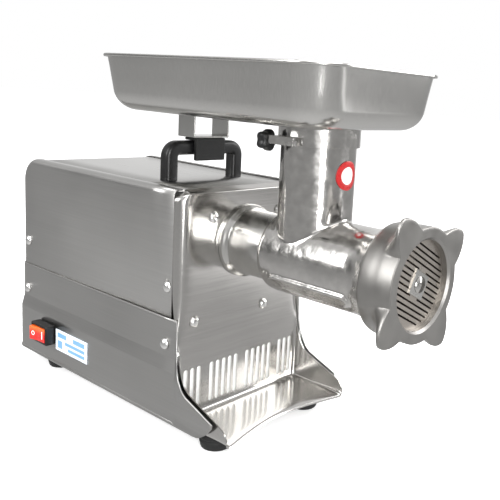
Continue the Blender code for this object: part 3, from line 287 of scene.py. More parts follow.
@dataclass(frozen=True)
class CastMetal(Finish):
    """A tumbled and polished casting: soft waves some 12 mm long and a fine pitted skin."""

    wave: float = 80.0
    depth: float = 0.35 * MM
    metallic: float = 1.0
    pits: float = 900.0
    pits_share: float = 0.03

    def dress(self, tree: bpy.types.NodeTree, shader: bpy.types.Node, place: bpy.types.NodeSocket) -> None:
        """Add long waves and fine pits as one height, and let the waves change the gloss.

        Args:
            tree: The material's tree.
            shader: Its Principled shader.
            place: Object coordinates, in metres.
        """
        waves = add_node(tree, "ShaderNodeTexNoise", {"Vector": place, "Scale": self.wave, "Detail": 1.5})
        pits = add_node(tree, "ShaderNodeTexNoise", {"Vector": place, "Scale": self.pits, "Detail": 2.0})
        height = add_node(tree, "ShaderNodeMath", {
            0: pits.outputs["Fac"], 1: self.pits_share, 2: waves.outputs["Fac"]}, operation="MULTIPLY_ADD")
        self.vary(tree, shader, waves.outputs["Fac"], 0.06, 0.10)
        self.bump(tree, shader, height.outputs[0], self.depth)


@dataclass(frozen=True)
class Moulded(Finish):
    """A moulded plastic or rubber with a spark-eroded grain about 0.6 mm across."""

    grit: float = 1600.0
    depth: float = 0.03 * MM

    def dress(self, tree: bpy.types.NodeTree, shader: bpy.types.Node, place: bpy.types.NodeSocket) -> None:
        """Use one fine noise for the grain and the small changes of gloss.

        Args:
            tree: The material's tree.
            shader: Its Principled shader.
            place: Object coordinates, in metres.
        """
        grain = add_node(tree, "ShaderNodeTexNoise", {"Vector": place, "Scale": self.grit, "Detail": 2.0})
        self.vary(tree, shader, grain.outputs["Fac"], 0.06, 0.15)
        self.bump(tree, shader, grain.outputs["Fac"], self.depth)


@dataclass(frozen=True)
class LitRocker(Moulded):
    """Clear-tinted polycarbonate whose colour turns orange at its upper edge: a painted glow for the light
    that the edge passes.
    """

    painted_glow: str = "#f0641e"
    low: float = 0.0
    high: float = 1.0
    fade: tuple = (0.55, 0.95)
    coat: float = 0.6
    coat_roughness: float = 0.05

    def dress(self, tree: bpy.types.NodeTree, shader: bpy.types.Node, place: bpy.types.NodeSocket) -> None:
        """Fade from the tint to the painted glow over the upper part of the rocker.

        Args:
            tree: The material's tree.
            shader: Its Principled shader.
            place: Object coordinates, in metres.
        """
        axes = add_node(tree, "ShaderNodeSeparateXYZ", {"Vector": place})
        rise = add_node(tree, "ShaderNodeMapRange", {
            "Value": axes.outputs["Z"], "From Min": self.low, "From Max": self.high})
        start, end = self.fade
        # Painted glow: the colour turns orange towards the top, for light shining through the edge.
        tint = ramp(tree, rise.outputs["Result"], ((start, linear(self.colour)), (end, linear(self.painted_glow))))
        tree.links.new(tint, shader.inputs["Base Color"])
        shader.inputs["Coat Weight"].default_value = self.coat
        shader.inputs["Coat Roughness"].default_value = self.coat_roughness


@dataclass(frozen=True)
class PaintedSlotLight(Finish):
    """A white matt sheet with crossing fibres about 1.5 mm apart, set behind the front slots as painted
    light: it stands in for the lit inside seen through them.
    """

    across: float = 650.0
    along: float = 120.0
    depth: float = 0.1 * MM

    def dress(self, tree: bpy.types.NodeTree, shader: bpy.types.Node, place: bpy.types.NodeSocket) -> None:
        """Cross two stretched noises to lay the fibres over each other.

        Args:
            tree: The material's tree.
            shader: Its Principled shader.
            place: Object coordinates, in metres.
        """
        fibres = []
        for scale in ((self.across, self.across, self.along), (self.along, self.across, self.across)):
            at = add_node(tree, "ShaderNodeMapping", {"Vector": place, "Scale": scale})
            fibres.append(add_node(tree, "ShaderNodeTexNoise", {"Vector": at.outputs[0], "Scale": 1.0}))
        laid = add_node(tree, "ShaderNodeMath", {0: fibres[0].outputs["Fac"], 1: fibres[1].outputs["Fac"]},
                        operation="MAXIMUM")
        self.vary(tree, shader, laid.outputs[0], 0.05, 0.18)
        self.bump(tree, shader, laid.outputs[0], self.depth)


# Soft streaks that draw each reflection out across the panels' length.
PANEL = BrushedSteel("stainless_sheet_brushed_lengthwise", "#b9b8b6", 0.34, grain=Grain.ALONG_Y)
# The same sheet a little tighter, with its colour painted paler for the extra light that the top takes:
# painted light.
TOP = BrushedSteel("stainless_sheet_brushed_top", "#c4c3c1", 0.30, grain=Grain.ALONG_Y)
# Near-mirror sheet: the front plate's bright sweeps and clear reflections.
COVER = BrushedSteel("stainless_sheet_polished", "#c9c7c4", 0.17, grain=Grain.ALONG_X, depth=0.0012 * MM)
# Deep-drawn sheet, smooth with faint upright draw lines.
TRAY = BrushedSteel("stainless_sheet_drawn", "#cfcecb", 0.20, grain=Grain.ALONG_Z, depth=0.0015 * MM)
# Buffed casting: bright, with reflections that wander over low waves.
CASTING = CastMetal("polished_cast_aluminium", "#c6c4c1", 0.17, wave=110.0, depth=0.30 * MM)
# Tumbled casting: an even grey satin without sharp reflections.
NUT_METAL = CastMetal("satin_cast_aluminium", "#a3a19e", 0.36, wave=60.0, depth=0.12 * MM)
# Turned tube: clean bright bands along its length.
NECK_METAL = CastMetal("turned_stainless", "#c6c5c2", 0.22, wave=40.0, depth=0.05 * MM)
# Small bright domes, each with one clear highlight.
BOLT_METAL = CastMetal("polished_bolt_steel", "#efeeec", 0.20, wave=200.0, depth=0.01 * MM)
# Flat ground steel, faintly warm and even.
PLATE_METAL = BrushedSteel("ground_tool_steel", "#bdb6ae", 0.30, grain=Grain.NONE, depth=0.003 * MM)
# Cut steel, darker and duller than sheet.
GEAR_METAL = CastMetal("hobbed_gear_steel", "#6f7073", 0.40, wave=300.0, depth=0.03 * MM)
# Stacked plates: dark, rough and close to black.
IRON = CastMetal("laminated_iron", "#3b3d40", 0.55, wave=400.0, depth=0.08 * MM)
# Moulded nylon: black with a soft sheen on its edges.
BLACK = Moulded("black_polyamide", "#101011", 0.34)
# Rubber: black and matt, with a coarser skin.
RUBBER = Moulded("black_nitrile_rubber", "#161616", 0.62, grit=900.0, depth=0.06 * MM)
# Undyed nylon: a creamy, half-matt white.
NYLON = Moulded("natural_nylon", "#d9d3c2", 0.45)
# Seal rubber, black and half-matt.
SEAL = Moulded("seal_rubber", "#1b1a1a", 0.55)
# Coated film: a cool white with a slight sheen.
LABEL = Moulded("white_polyester_label", "#dde6ee", 0.40, grit=700.0, depth=0.01 * MM)
# Printed ink, pale blue and as flat as its film.
PRINT = Moulded("pale_blue_label_ink", "#6f9fc8", 0.42, grit=700.0, depth=0.01 * MM)
# Vinyl sticker, plain white with a slight sheen.
WHITE = Moulded("white_vinyl", "#eeeeec", 0.35, grit=700.0, depth=0.01 * MM)
# The same vinyl in a strong red.
RED = Moulded("red_vinyl", "#b01a1c", 0.32, grit=700.0, depth=0.01 * MM)
# A white matt sheet seen only through the front slots: painted light for the lit inside behind them.
SLOT_LIGHT = PaintedSlotLight("white_filter_felt", "#f4f4f2", 0.85)


# ---------------------------------------------------------------- surfaces worked out on a grid
def grid_faces(rows: int, columns: int, wrap: bool = False) -> np.ndarray:
    """The quads of a grid of points.

    Args:
        rows: Number of rows.
        columns: Number of points in a row.
        wrap: Whether the last column joins the first.

    Returns:
        An array of four point numbers for each quad, rows first.
    """
    ids = np.arange(rows * columns).reshape(rows, columns)
    if wrap:
        ids = np.concatenate([ids, ids[:, :1]], axis=1)
    return np.stack([ids[:-1, :-1], ids[:-1, 1:], ids[1:, 1:], ids[1:, :-1]], axis=-1)


def new_object(name: str, data: bpy.types.ID) -> bpy.types.Object:
    """Make an object at the origin and put it in the scene.

    Args:
        name: The object's name.
        data: Its mesh, curve, light or camera.

    Returns:
        The object.
    """
    obj = bpy.data.objects.new(name, data)
    bpy.context.scene.collection.objects.link(obj)
    return obj


def made_object(name: str, points: np.ndarray, faces: list, closed: bool = True,
                sharp: float = 40.0) -> bpy.types.Object:
    """Put points and faces into a new object at the origin.

    Args:
        name: The object's name.
        points: Points in the datum, any shape that ends in 3.
        faces: Lists of point numbers.
        closed: Whether the surface is closed, so that its normals can be turned outwards.
        sharp: Edges that bend more than this many degrees stay sharp.

    Returns:
        The object, with its seams merged and shaded smooth.
    """
    mesh = bpy.data.meshes.new(name)
    mesh.from_pydata(DATUM.place(points).reshape(-1, 3).tolist(), [], faces)
    bm = bmesh.new()
    bm.from_mesh(mesh)
    bmesh.ops.remove_doubles(bm, verts=bm.verts, dist=0.002 * MM)
    if closed:
        bmesh.ops.recalc_face_normals(bm, faces=bm.faces)
    bm.to_mesh(mesh)
    bm.free()
    mesh.shade_smooth()
    mesh.set_sharp_from_angle(angle=math.radians(sharp))
    return new_object(name, mesh)


def add_wall(obj: bpy.types.Object, thickness: float, offset: float = -1.0) -> None:
    """Give an open surface its wall, as a live Solidify.

    Args:
        obj: The surface.
        thickness: The wall's thickness.
        offset: -1 puts the wall behind the faces and 1 in front of them.
    """
    wall = obj.modifiers.new("Wall", "SOLIDIFY")
    wall.thickness = thickness
    wall.offset = offset
    wall.use_even_offset = False


def sheet(name: str, points: np.ndarray, thickness: float,
          keep: np.ndarray | None = None) -> bpy.types.Object:
    """A sheet-metal piece: its visible face on a grid, with its wall behind it.

    Args:
        name: The object's name.
        points: Rows by columns by 3.
        thickness: Wall, which lies on the side that the faces look away from.
        keep: Which quads to keep, for openings.

    Returns:
        The object with a live Solidify.
    """
    quads = grid_faces(*points.shape[:2])
    if keep is not None:
        quads = quads[keep]
    obj = made_object(name, points, quads.reshape(-1, 4).tolist(), closed=False)
    add_wall(obj, thickness)
    return obj


def ring_solid(name: str, points: np.ndarray, sharp: float = 40.0) -> bpy.types.Object:
    """A solid from closed rings, whose first and last ring are capped unless they meet.

    Args:
        name: The object's name.
        points: Rings by points by 3.
        sharp: Edges that bend more than this many degrees stay sharp.

    Returns:
        The closed solid.
    """
    rows, columns = points.shape[:2]
    faces = grid_faces(rows, columns, wrap=True).reshape(-1, 4).tolist()
    if not np.allclose(points[0], points[-1], atol=1e-7):
        faces.append(list(range(columns))[::-1])
        faces.append(list(range((rows - 1) * columns, rows * columns)))
    return made_object(name, points, faces, sharp=sharp)


def rounded(corners: Sequence[tuple], steps: int = 5) -> np.ndarray:
    """Round the corners of an open outline.

    Each corner is replaced by the quadratic curve that starts and ends its radius away from it along
    its two sides: (1 - t)^2 a + 2 t (1 - t) b + t^2 c.

    Args:
        corners: Points (u, v, radius); the ends' radii are not used.
        steps: Points on each round.

    Returns:
        The outline's points.
    """
    most = 0.49  # share of a side that one round may take, so that two never meet
    spots = np.array([c[:2] for c in corners], float)
    radii = [c[2] if len(c) > 2 else 0.0 for c in corners]
    parts = [spots[:1]]
    t = np.linspace(0, 1, steps)[:, None]
    for before, here, after, radius in zip(spots, spots[1:], spots[2:], radii[1:]):
        if radius <= 0:
            parts.append(here[None])
            continue
        back, forth = before - here, after - here
        reach_back = min(radius, most * np.linalg.norm(back))
        reach_forth = min(radius, most * np.linalg.norm(forth))
        a = here + back / np.linalg.norm(back) * reach_back
        c = here + forth / np.linalg.norm(forth) * reach_forth
        parts.append((1 - t) ** 2 * a + 2 * t * (1 - t) * here + t ** 2 * c)
    parts.append(spots[-1:])
    return np.concatenate(parts)


class Axis(Enum):
    """The axis that a turned piece turns about: height runs towards -y, +x or +z."""

    Y = "y"
    X = "x"
    Z = "z"

    def spin(self, radius: np.ndarray, height: np.ndarray, angle: np.ndarray,
             at: Sequence[float]) -> np.ndarray:
        """Points carried round this axis.

        Args:
            radius: Their distance from the axis.
            height: Their place along it.
            angle: Their angle round it, in radians.
            at: A point that the axis passes through.

        Returns:
            The points, in an array that ends in 3.
        """
        a, b = radius * np.cos(angle), radius * np.sin(angle)
        height = height + 0.0 * angle
        if self is Axis.Y:
            stacked = (a, -height, b)
        elif self is Axis.X:
            stacked = (height, a, b)
        else:
            stacked = (a, b, height)
        return np.stack(stacked, axis=-1) + np.array(at)


def turned(name: str, outline: np.ndarray, axis: Axis, at: Sequence[float], steps: int = 96,
           shape: np.ndarray | None = None, sharp: float = 40.0) -> bpy.types.Object:
    """A turned piece: an outline of (radius, height) points carried round an axis.

    The radius at each angle is the outline's radius times 1 + weight * shape(angle), where the weight
    is the outline's third value, if it has one.

    Args:
        name: The object's name.
        outline: Points (radius, height) or (radius, height, weight); closed if it ends where it starts.
        axis: The turning axis.
        at: A point on the axis.
        steps: Points round it.
        shape: How far the radius grows at each angle, for lobes.
        sharp: Edges that bend more than this many degrees stay sharp.

    Returns:
        The closed solid.
    """
    angle = np.linspace(0, math.tau, steps, endpoint=False)[None, :]
    outline = np.asarray(outline, float)
    radius = outline[:, :1] + 0.0 * angle
    if shape is not None:
        radius = radius + outline[:, 2:3] * shape[None, :]
    return ring_solid(name, axis.spin(radius, outline[:, 1:2], angle, at), sharp)


def swept(name: str, path: np.ndarray, section: np.ndarray) -> bpy.types.Object:
    """A bar bent in the x-z plane: a closed section carried square to a path.

    A point is path + a * normal + b * (0, 1, 0), with the normal in the plane of the path.

    Args:
        name: The object's name.
        path: Points (x, y, z) with one y.
        section: Points (a, b), going round once.

    Returns:
        The closed bar.
    """
    along = np.gradient(path, axis=0)
    along /= np.linalg.norm(along, axis=1, keepdims=True)
    normal = np.stack([along[:, 2], 0 * along[:, 0], -along[:, 0]], axis=-1)
    points = (path[:, None] + section[None, :, :1] * normal[:, None]
              + section[None, :, 1:] * np.array((0.0, 1.0, 0.0)))
    return ring_solid(name, points)


def round_box(name: str, low: Sequence[float], high: Sequence[float], radius: float,
              segments: int = 3) -> bpy.types.Object:
    """A box with rounded edges.

    Args:
        name: The object's name.
        low: Its lowest corner, measured from the datum.
        high: Its highest corner.
        radius: Rounding of its edges.
        segments: Facets of each rounding.

    Returns:
        The box with a live Bevel.
    """
    corners = np.array([(x, y, z) for x in (0, 1) for y in (0, 1) for z in (0, 1)])
    points = np.array(low) + corners * (np.array(high) - np.array(low))
    faces = [[0, 1, 3, 2], [4, 6, 7, 5], [0, 4, 5, 1], [2, 3, 7, 6], [0, 2, 6, 4], [1, 5, 7, 3]]
    obj = made_object(name, points, faces, sharp=80.0)
    edges = obj.modifiers.new("Rounding", "BEVEL")
    edges.width = radius
    edges.segments = segments
    edges.use_clamp_overlap = True
    return obj


def refit(node: str, radius: float, sharp: float = 35.0, segments: int = 2) -> bpy.types.Object:
    """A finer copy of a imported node: its loose triangles merged, its edges rounded and shaded.

    Args:
        node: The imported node.
        radius: Rounding of its sharp edges.
        sharp: Edges that bend more than this many degrees are rounded.
        segments: Facets of each rounding.

    Returns:
        The copy, which stands for the node.
    """
    obj = new_object(node + "_finish", frame["nodes"][node].data.copy())
    obj.data.materials.clear()
    bm = bmesh.new()
    bm.from_mesh(obj.data)
    bmesh.ops.remove_doubles(bm, verts=bm.verts, dist=0.005 * MM)
    bmesh.ops.dissolve_limit(bm, angle_limit=math.radians(0.5), verts=bm.verts, edges=bm.edges)
    bm.to_mesh(obj.data)
    bm.free()
    obj.data.shade_smooth()
    obj.data.set_sharp_from_angle(angle=math.radians(sharp))
    if radius:
        edges = obj.modifiers.new("Rounding", "BEVEL")
        edges.width = radius
        edges.segments = segments
        edges.limit_method = "ANGLE"
        edges.angle_limit = math.radians(sharp)
        edges.harden_normals = True
    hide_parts(node)
    return obj


def fit(obj: bpy.types.Object, finish: Finish, body: str, *nodes: str,
        slot: str | None = None) -> bpy.types.Object:
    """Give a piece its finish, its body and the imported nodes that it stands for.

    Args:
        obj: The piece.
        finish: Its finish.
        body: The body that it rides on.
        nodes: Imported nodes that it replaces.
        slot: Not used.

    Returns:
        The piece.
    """
    obj.data.materials.clear()
    obj.data.materials.append(finish.material())
    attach(obj, body)
    if nodes:
        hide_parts(*nodes)
    LOG.info("%s: %s on %s", obj.name, finish.name, body)
    return obj


def dress_node(node: str, finish: Finish) -> None:
    """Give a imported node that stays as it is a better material.

    Args:
        node: The node.
        finish: Its finish.
    """
    mesh = frame["nodes"][node].data
    mesh.materials.clear()
    mesh.materials.append(finish.material())
    LOG.info("%s: %s", node, finish.name)


def mesh_of(obj: bpy.types.Object, sharp: float = 40.0) -> bpy.types.Object:
    """Turn an object's live modifiers into its mesh, and shade it again.

    Args:
        obj: The object.
        sharp: Edges that bend more than this many degrees stay sharp.

    Returns:
        The same object without modifiers.
    """
    bpy.context.view_layer.update()
    seen = obj.evaluated_get(bpy.context.evaluated_depsgraph_get())
    mesh = bpy.data.meshes.new_from_object(seen)
    obj.modifiers.clear()
    obj.data = mesh
    mesh.shade_smooth()
    mesh.set_sharp_from_angle(angle=math.radians(sharp))
    return obj


def gather(target: bpy.types.Mesh, pieces: Sequence[bpy.types.Object]) -> None:
    """Add the meshes of several pieces to one mesh, and remove the pieces.

    Args:
        target: The mesh that they go in.
        pieces: The pieces.
    """
    bm = bmesh.new()
    bm.from_mesh(target)
    for piece in pieces:
        bm.from_mesh(piece.data)
        bpy.data.objects.remove(piece, do_unlink=True)
    bm.to_mesh(target)
    bm.free()


def carve(obj: bpy.types.Object, cutters: Sequence[bpy.types.Object],
          sharp: float = 40.0) -> bpy.types.Object:
    """Cut solids out of a piece and throw them away.

    Args:
        obj: The piece.
        cutters: The solids.
        sharp: Edges that bend more than this many degrees stay sharp.

    Returns:
        The piece, cut.
    """
    joined = new_object("cutters", bpy.data.meshes.new("cutters"))
    gather(joined.data, cutters)
    change = obj.modifiers.new("Cut", "BOOLEAN")
    change.operation = "DIFFERENCE"
    change.solver = "EXACT"
    change.object = joined
    mesh_of(obj, sharp)
    bpy.data.objects.remove(joined, do_unlink=True)
    return obj


def prism(name: str, outline: np.ndarray, low: float, high: float) -> bpy.types.Object:
    """A straight solid between two y values over an outline of (x, z) points."""
    rows = [np.stack([outline[:, 0], 0 * outline[:, 0] + y, outline[:, 1]], axis=-1) for y in (low, high)]
    return ring_solid(name, np.array(rows))


def slot_outline(x: float, low: float, width: float, height: float) -> np.ndarray:
    """An upright slot with half-round ends.

    Args:
        x: Its middle.
        low: Its lower end.
        width: Its width.
        height: Its height over the round ends.

    Returns:
        Its outline as (x, z) points.
    """
    r = width / 2
    a = np.linspace(0, math.pi, 9)
    top = np.stack([x + r * np.cos(a), low + height - r + r * np.sin(a)], axis=-1)
    foot = np.stack([x - r * np.cos(a), low + r - r * np.sin(a)], axis=-1)
    return np.concatenate([top, foot])


def arc(centre: Sequence[float], radius: float, start: float, end: float, count: int) -> np.ndarray:
    """Points on an arc, its angles in degrees."""
    a = np.radians(np.linspace(start, end, count))
    return np.stack([centre[0] + radius * np.cos(a), centre[1] + radius * np.sin(a)], axis=-1)


# ---------------------------------------------------------------- body sheets
@dataclass
class Housing:
    """The sheet body: base pan, side panels, top cover, rear panel, bolts, feet and label."""

    half: float = BODY_HALF
    length: float = 279 * MM
    height: float = 220 * MM
    wall: float = SHEET
    roll: float = 6 * MM
    flange: float = 10 * MM
    rear_corner: float = 25 * MM
    front: float = 10.6 * MM
    pan_top: float = 100 * MM
    step_top: float = 63 * MM
    step_low: float = 50 * MM
    step_out: float = 3 * MM
    rim: float = 3.5 * MM
    rim_out: float = 0.8 * MM
    toe: float = 55 * MM
    toe_rise: float = 16 * MM
    toe_flat: float = 0.55
    switch_window: tuple = (12.5 * MM, 8.5 * MM)
    vent: tuple = (4.8 * MM, 28 * MM)
    vent_pitch: float = 13 * MM
    vent_columns: int = 7
    vent_rows: tuple = (112 * MM, 152 * MM)
    bolt_r: float = 5.5 * MM
    bolt_h: float = 3.5 * MM
    side_bolts: tuple = ((266, 127), (266, 72), (16.5, 129), (16.5, 74.5))
    front_bolts: tuple = ((-43, 193), (43, 193), (-62, 95.5), (27, 95.5))
    label_blocks: tuple = ((-26, -4, 3.5, 8.5), (-26, 12, -2.5, 1.0), (-26, 6, -8.5, -5.0),
                           (9, 26, 3.5, 8.5), (17, 26, -8.5, 0.0))
    block_skin: tuple = (-0.08 * MM, 0.02 * MM)

    @property
    def pan_half(self) -> float:
        """The pan's upper outer face."""
        return self.half + GAP + self.wall

    def pan_out(self, z: np.ndarray) -> np.ndarray:
        """How far out the pan stands: a joggle below the step, and a half-round bead at the rim.

        Args:
            z: Heights above the rim.

        Returns:
            The distance outside the pan's upper face at each height.
        """
        share = np.clip((self.step_top - z) / (self.step_top - self.step_low), 0, 1)
        bead = np.sqrt(np.clip(1 - (2 * z / self.rim - 1) ** 2, 0, 1))
        return self.step_out * share + self.rim_out * bead

    def base_pan(self, cheek_height: np.ndarray, toe_y: np.ndarray) -> None:
        """The pan: levels by a path along the left wall, round the rear and back along the right wall.

        In front of the plate each level is squeezed between the toe's rising foot and the cheek's edge.

        Args:
            cheek_height: Height of the cheek's edge at each of the toe's points.
            toe_y: The toe's points along y, from its tip to the plate.
        """
        eased = np.array([63.4, 63, 62.5, 50.5, 50, 49.6]) * MM
        bead = (self.rim / 2) * (1 + np.cos(np.linspace(0, math.pi, 9)))
        levels = np.concatenate([[self.pan_top, 98.5 * MM, 80 * MM], eased,
                                 [41.5 * MM, 24.5 * MM, 12 * MM, 4.5 * MM], bead])
        along = np.concatenate([toe_y, np.array([0, 20, 60, 110, 160, 205.5, 230.5, 250]) * MM,
                                [self.length - self.roll]])
        t = np.clip(-along / self.toe, 0, 1)
        foot = self.toe_rise * np.clip((t - self.toe_flat) / (1 - self.toe_flat), 0, 1) ** 2
        top = np.concatenate([cheek_height - 0.4 * MM, np.full(len(along) - len(toe_y), self.pan_top)])
        z = foot + (top - foot) * levels[:, None] / self.pan_top
        side = np.stack([-self.pan_half - self.pan_out(z), along + 0 * z, z], axis=-1)
        a = np.radians(np.linspace(180, 90, 9))[1:]
        radius = self.roll + GAP + self.wall + self.pan_out(levels)[:, None]
        corner = np.stack([-self.half + self.roll + radius * np.cos(a),
                           self.length - self.roll + radius * np.sin(a), levels[:, None] + 0 * a], axis=-1)
        left = np.concatenate([side, corner], axis=1)
        points = np.concatenate([left, left[:, ::-1] * (-1, 1, 1)], axis=1)
        quads = grid_faces(*points.shape[:2])
        middle = points.reshape(-1, 3)[quads].mean(axis=2)
        wide, tall = self.switch_window
        behind_switch = ((abs(middle[..., 1] - SWITCH_Y) < wide)
                         & (abs(middle[..., 2] - SWITCH_Z) < tall) & (middle[..., 0] < 0))
        pan = sheet("base_pan_shell", points, self.wall, keep=~behind_switch)
        fit(pan, PANEL, "chassis", "base_pan")

    def side_panel(self, side: int) -> None:
        """A side panel: one flat face inside rings that follow its top, rear corner and rear edge.

        The rings roll inwards a quarter turn and end in a flange.

        Args:
            side: -1 for the left panel, 1 for the right one.
        """
        low = self.step_top + 2 * MM
        centre = (self.length - self.rear_corner, self.height - self.rear_corner)
        straight = np.stack([np.linspace(self.front, centre[0], 8), np.full(8, self.height)], axis=-1)
        bend = arc(centre, self.rear_corner, 90, 0, 17)[1:]
        drop = np.stack([np.full(7, self.length), np.linspace(centre[1], low, 8)[1:]], axis=-1)
        edge = np.concatenate([straight, bend, drop])
        inward = np.concatenate([np.tile((0.0, -1.0), (8, 1)), -(bend - centre) / self.rear_corner,
                                 np.tile((-1.0, 0.0), (7, 1))])
        a = np.radians(np.linspace(0, 90, 8))
        inset = np.concatenate([[self.roll + 1 * MM], self.roll * (1 - np.sin(a)), [0.0]])
        depth = np.concatenate([[0.0], self.roll * (1 - np.cos(a)), [self.flange]])
        flat = edge[None] + inset[:, None, None] * inward[None]
        x = side * (self.half - depth)[:, None, None] + 0 * flat[..., :1]
        points = np.concatenate([x, flat], axis=-1)
        rows, columns = points.shape[:2]
        quads = grid_faces(rows, columns).reshape(-1, 4)
        points = np.concatenate([points.reshape(-1, 3), [(side * self.half, self.front, low)]])
        face = list(range(columns)) + [len(points) - 1]
        faces = quads[:, ::-1].tolist() + [face] if side < 0 else quads.tolist() + [face[::-1]]
        name = "left" if side < 0 else "right"
        panel = made_object(f"side_panel_{name}_shell", points, faces, closed=False)
        add_wall(panel, self.wall)
        fit(panel, PANEL, "chassis", f"side_panel_{name}")

    def covers(self) -> None:
        """The top cover, bent down at the rear, and the rear panel with its vents."""
        half = self.half - self.roll
        top = self.height - self.wall - GAP
        rear = self.length - self.wall - GAP
        radius = self.rear_corner - self.wall - GAP
        section = np.concatenate([[(self.front, top), (90 * MM, top), (180 * MM, top)],
                                  arc((rear - radius, top - radius), radius, 90, 0, 13),
                                  [(rear, top - radius - 6 * MM)]])
        x = np.linspace(-half, half, 5)[None, :, None]
        points = np.concatenate([x + 0 * section[:, None, :1], section[:, None] + 0 * x], axis=-1)
        fit(sheet("top_cover_sheet", points, self.wall), TOP, "chassis", "top_cover")
        low, high = DATUM.box("rear_panel")
        panel = mesh_of(round_box("rear_panel_sheet", low, high, 0.3 * MM, 1))
        through = 5 * MM
        vents = [prism("vent", slot_outline((i - self.vent_columns // 2) * self.vent_pitch, z, *self.vent),
                       low[1] - through, high[1] + through)
                 for z in self.vent_rows for i in range(self.vent_columns)]
        fit(carve(panel, vents), PANEL, "chassis", "rear_panel")

    def bolts(self) -> None:
        """Domed bolts: an ellipse turned round each bolt's axis."""
        t = np.radians(np.linspace(90, 0, 9))
        dome = np.stack([self.bolt_r * np.cos(t), self.bolt_h * np.sin(t)], axis=-1)
        dome[0, 0] = POLE
        for i, (x, z) in enumerate(self.front_bolts):
            bolt = turned(f"front_bolt_{i + 1}_head", dome, Axis.Y, (x * MM, -GAP, z * MM), 32)
            fit(bolt, BOLT_METAL, "chassis", f"front_bolt_{i + 1}")
        for side, name in ((-1, "left"), (1, "right")):
            for i, (y, z) in enumerate(self.side_bolts):
                face = (self.pan_half if z * MM < self.pan_top else self.half) + GAP
                bolt = turned(f"side_bolt_{name}_{i + 1}_head", dome * (1, side), Axis.X,
                              (side * face, y * MM, z * MM), 32)
                fit(bolt, BOLT_METAL, "chassis", f"side_bolt_{name}_{i + 1}")

    def feet(self) -> None:
        """Rubber feet: a rounded disc with a groove, on a narrower tread."""
        for name in ("front_left", "front_right", "rear_left", "rear_right"):
            low, high = DATUM.box("foot_" + name)
            middle = (low + high) / 2
            r, h = (high[0] - low[0]) / 2, high[2] - low[2]
            outline = rounded([(POLE, h), (r - 0.5 * MM, h, 1 * MM), (r, h - 3 * MM, 0.8 * MM),
                               (r, h - 5.5 * MM, 1 * MM), (r - 1.8 * MM, h - 6.6 * MM, 0.5 * MM),
                               (r - 1.8 * MM, h - 8 * MM, 0.5 * MM), (r - 1.0 * MM, h - 9 * MM, 0.6 * MM),
                               (r - 3 * MM, 0, 2 * MM), (POLE, 0)])
            foot = turned(f"foot_{name}_rubber", outline, Axis.Z, (middle[0], middle[1], low[2]), 64)
            fit(foot, RUBBER, "chassis", "foot_" + name)

    def label(self) -> None:
        """A pale rating plate with plain blocks in place of any words."""
        low, high = DATUM.box("label_plate")
        fit(round_box("rating_plate", low, high, 0.3 * MM, 2), LABEL, "chassis", "label_plate")
        middle = (low + high) / 2
        foot, skin = self.block_skin
        for i, (y0, y1, z0, z1) in enumerate(self.label_blocks):
            start = (low[0] + foot, middle[1] + y0 * MM, middle[2] + z0 * MM)
            end = (low[0] + skin, middle[1] + y1 * MM, middle[2] + z1 * MM)
            fit(round_box(f"rating_block_{i + 1}", start, end, 0.02 * MM, 1), PRINT, "chassis", slot="label")

    def gland(self) -> None:
        """The cable gland: a flange, a round nut with grip grooves and a tapered nozzle."""
        low, high = DATUM.box("cable_gland")
        middle = (low + high) / 2
        count, depth, steps = 12, 0.02, 96
        grooves = depth * np.cos(count * np.linspace(0, math.tau, steps, endpoint=False))
        outline = np.array([(4.5, 0, 0), (11, 0, 0), (11, 2.6, 0), (10, 3.4, 0), (9, 3.6, 0), (8.9, 4.2, 8),
                            (8.9, 8.5, 8), (8.0, 9.4, 4), (6.9, 10, 0), (6.4, 15.5, 0), (5.9, 16.6, 0),
                            (5.2, 17, 0), (4.5, 16.8, 0), (4.5, 0, 0)]) * MM
        gland = turned("cable_gland_body", outline * (1, -1, 1), Axis.Y, (middle[0], low[1], middle[2]),
                       steps, shape=grooves)
        fit(gland, BLACK, "chassis", "cable_gland")

    def build(self, cheek_height: np.ndarray, toe_y: np.ndarray) -> None:
        """Build and dress the whole body.

        Args:
            cheek_height: Height of the cheek's edge at each of the toe's points.
            toe_y: The toe's points along y.
        """
        self.base_pan(cheek_height, toe_y)
        self.side_panel(-1)
        self.side_panel(1)
        self.covers()
        self.bolts()
        self.feet()
        self.label()
        self.gland()
        dress_node("base_plate", PANEL)


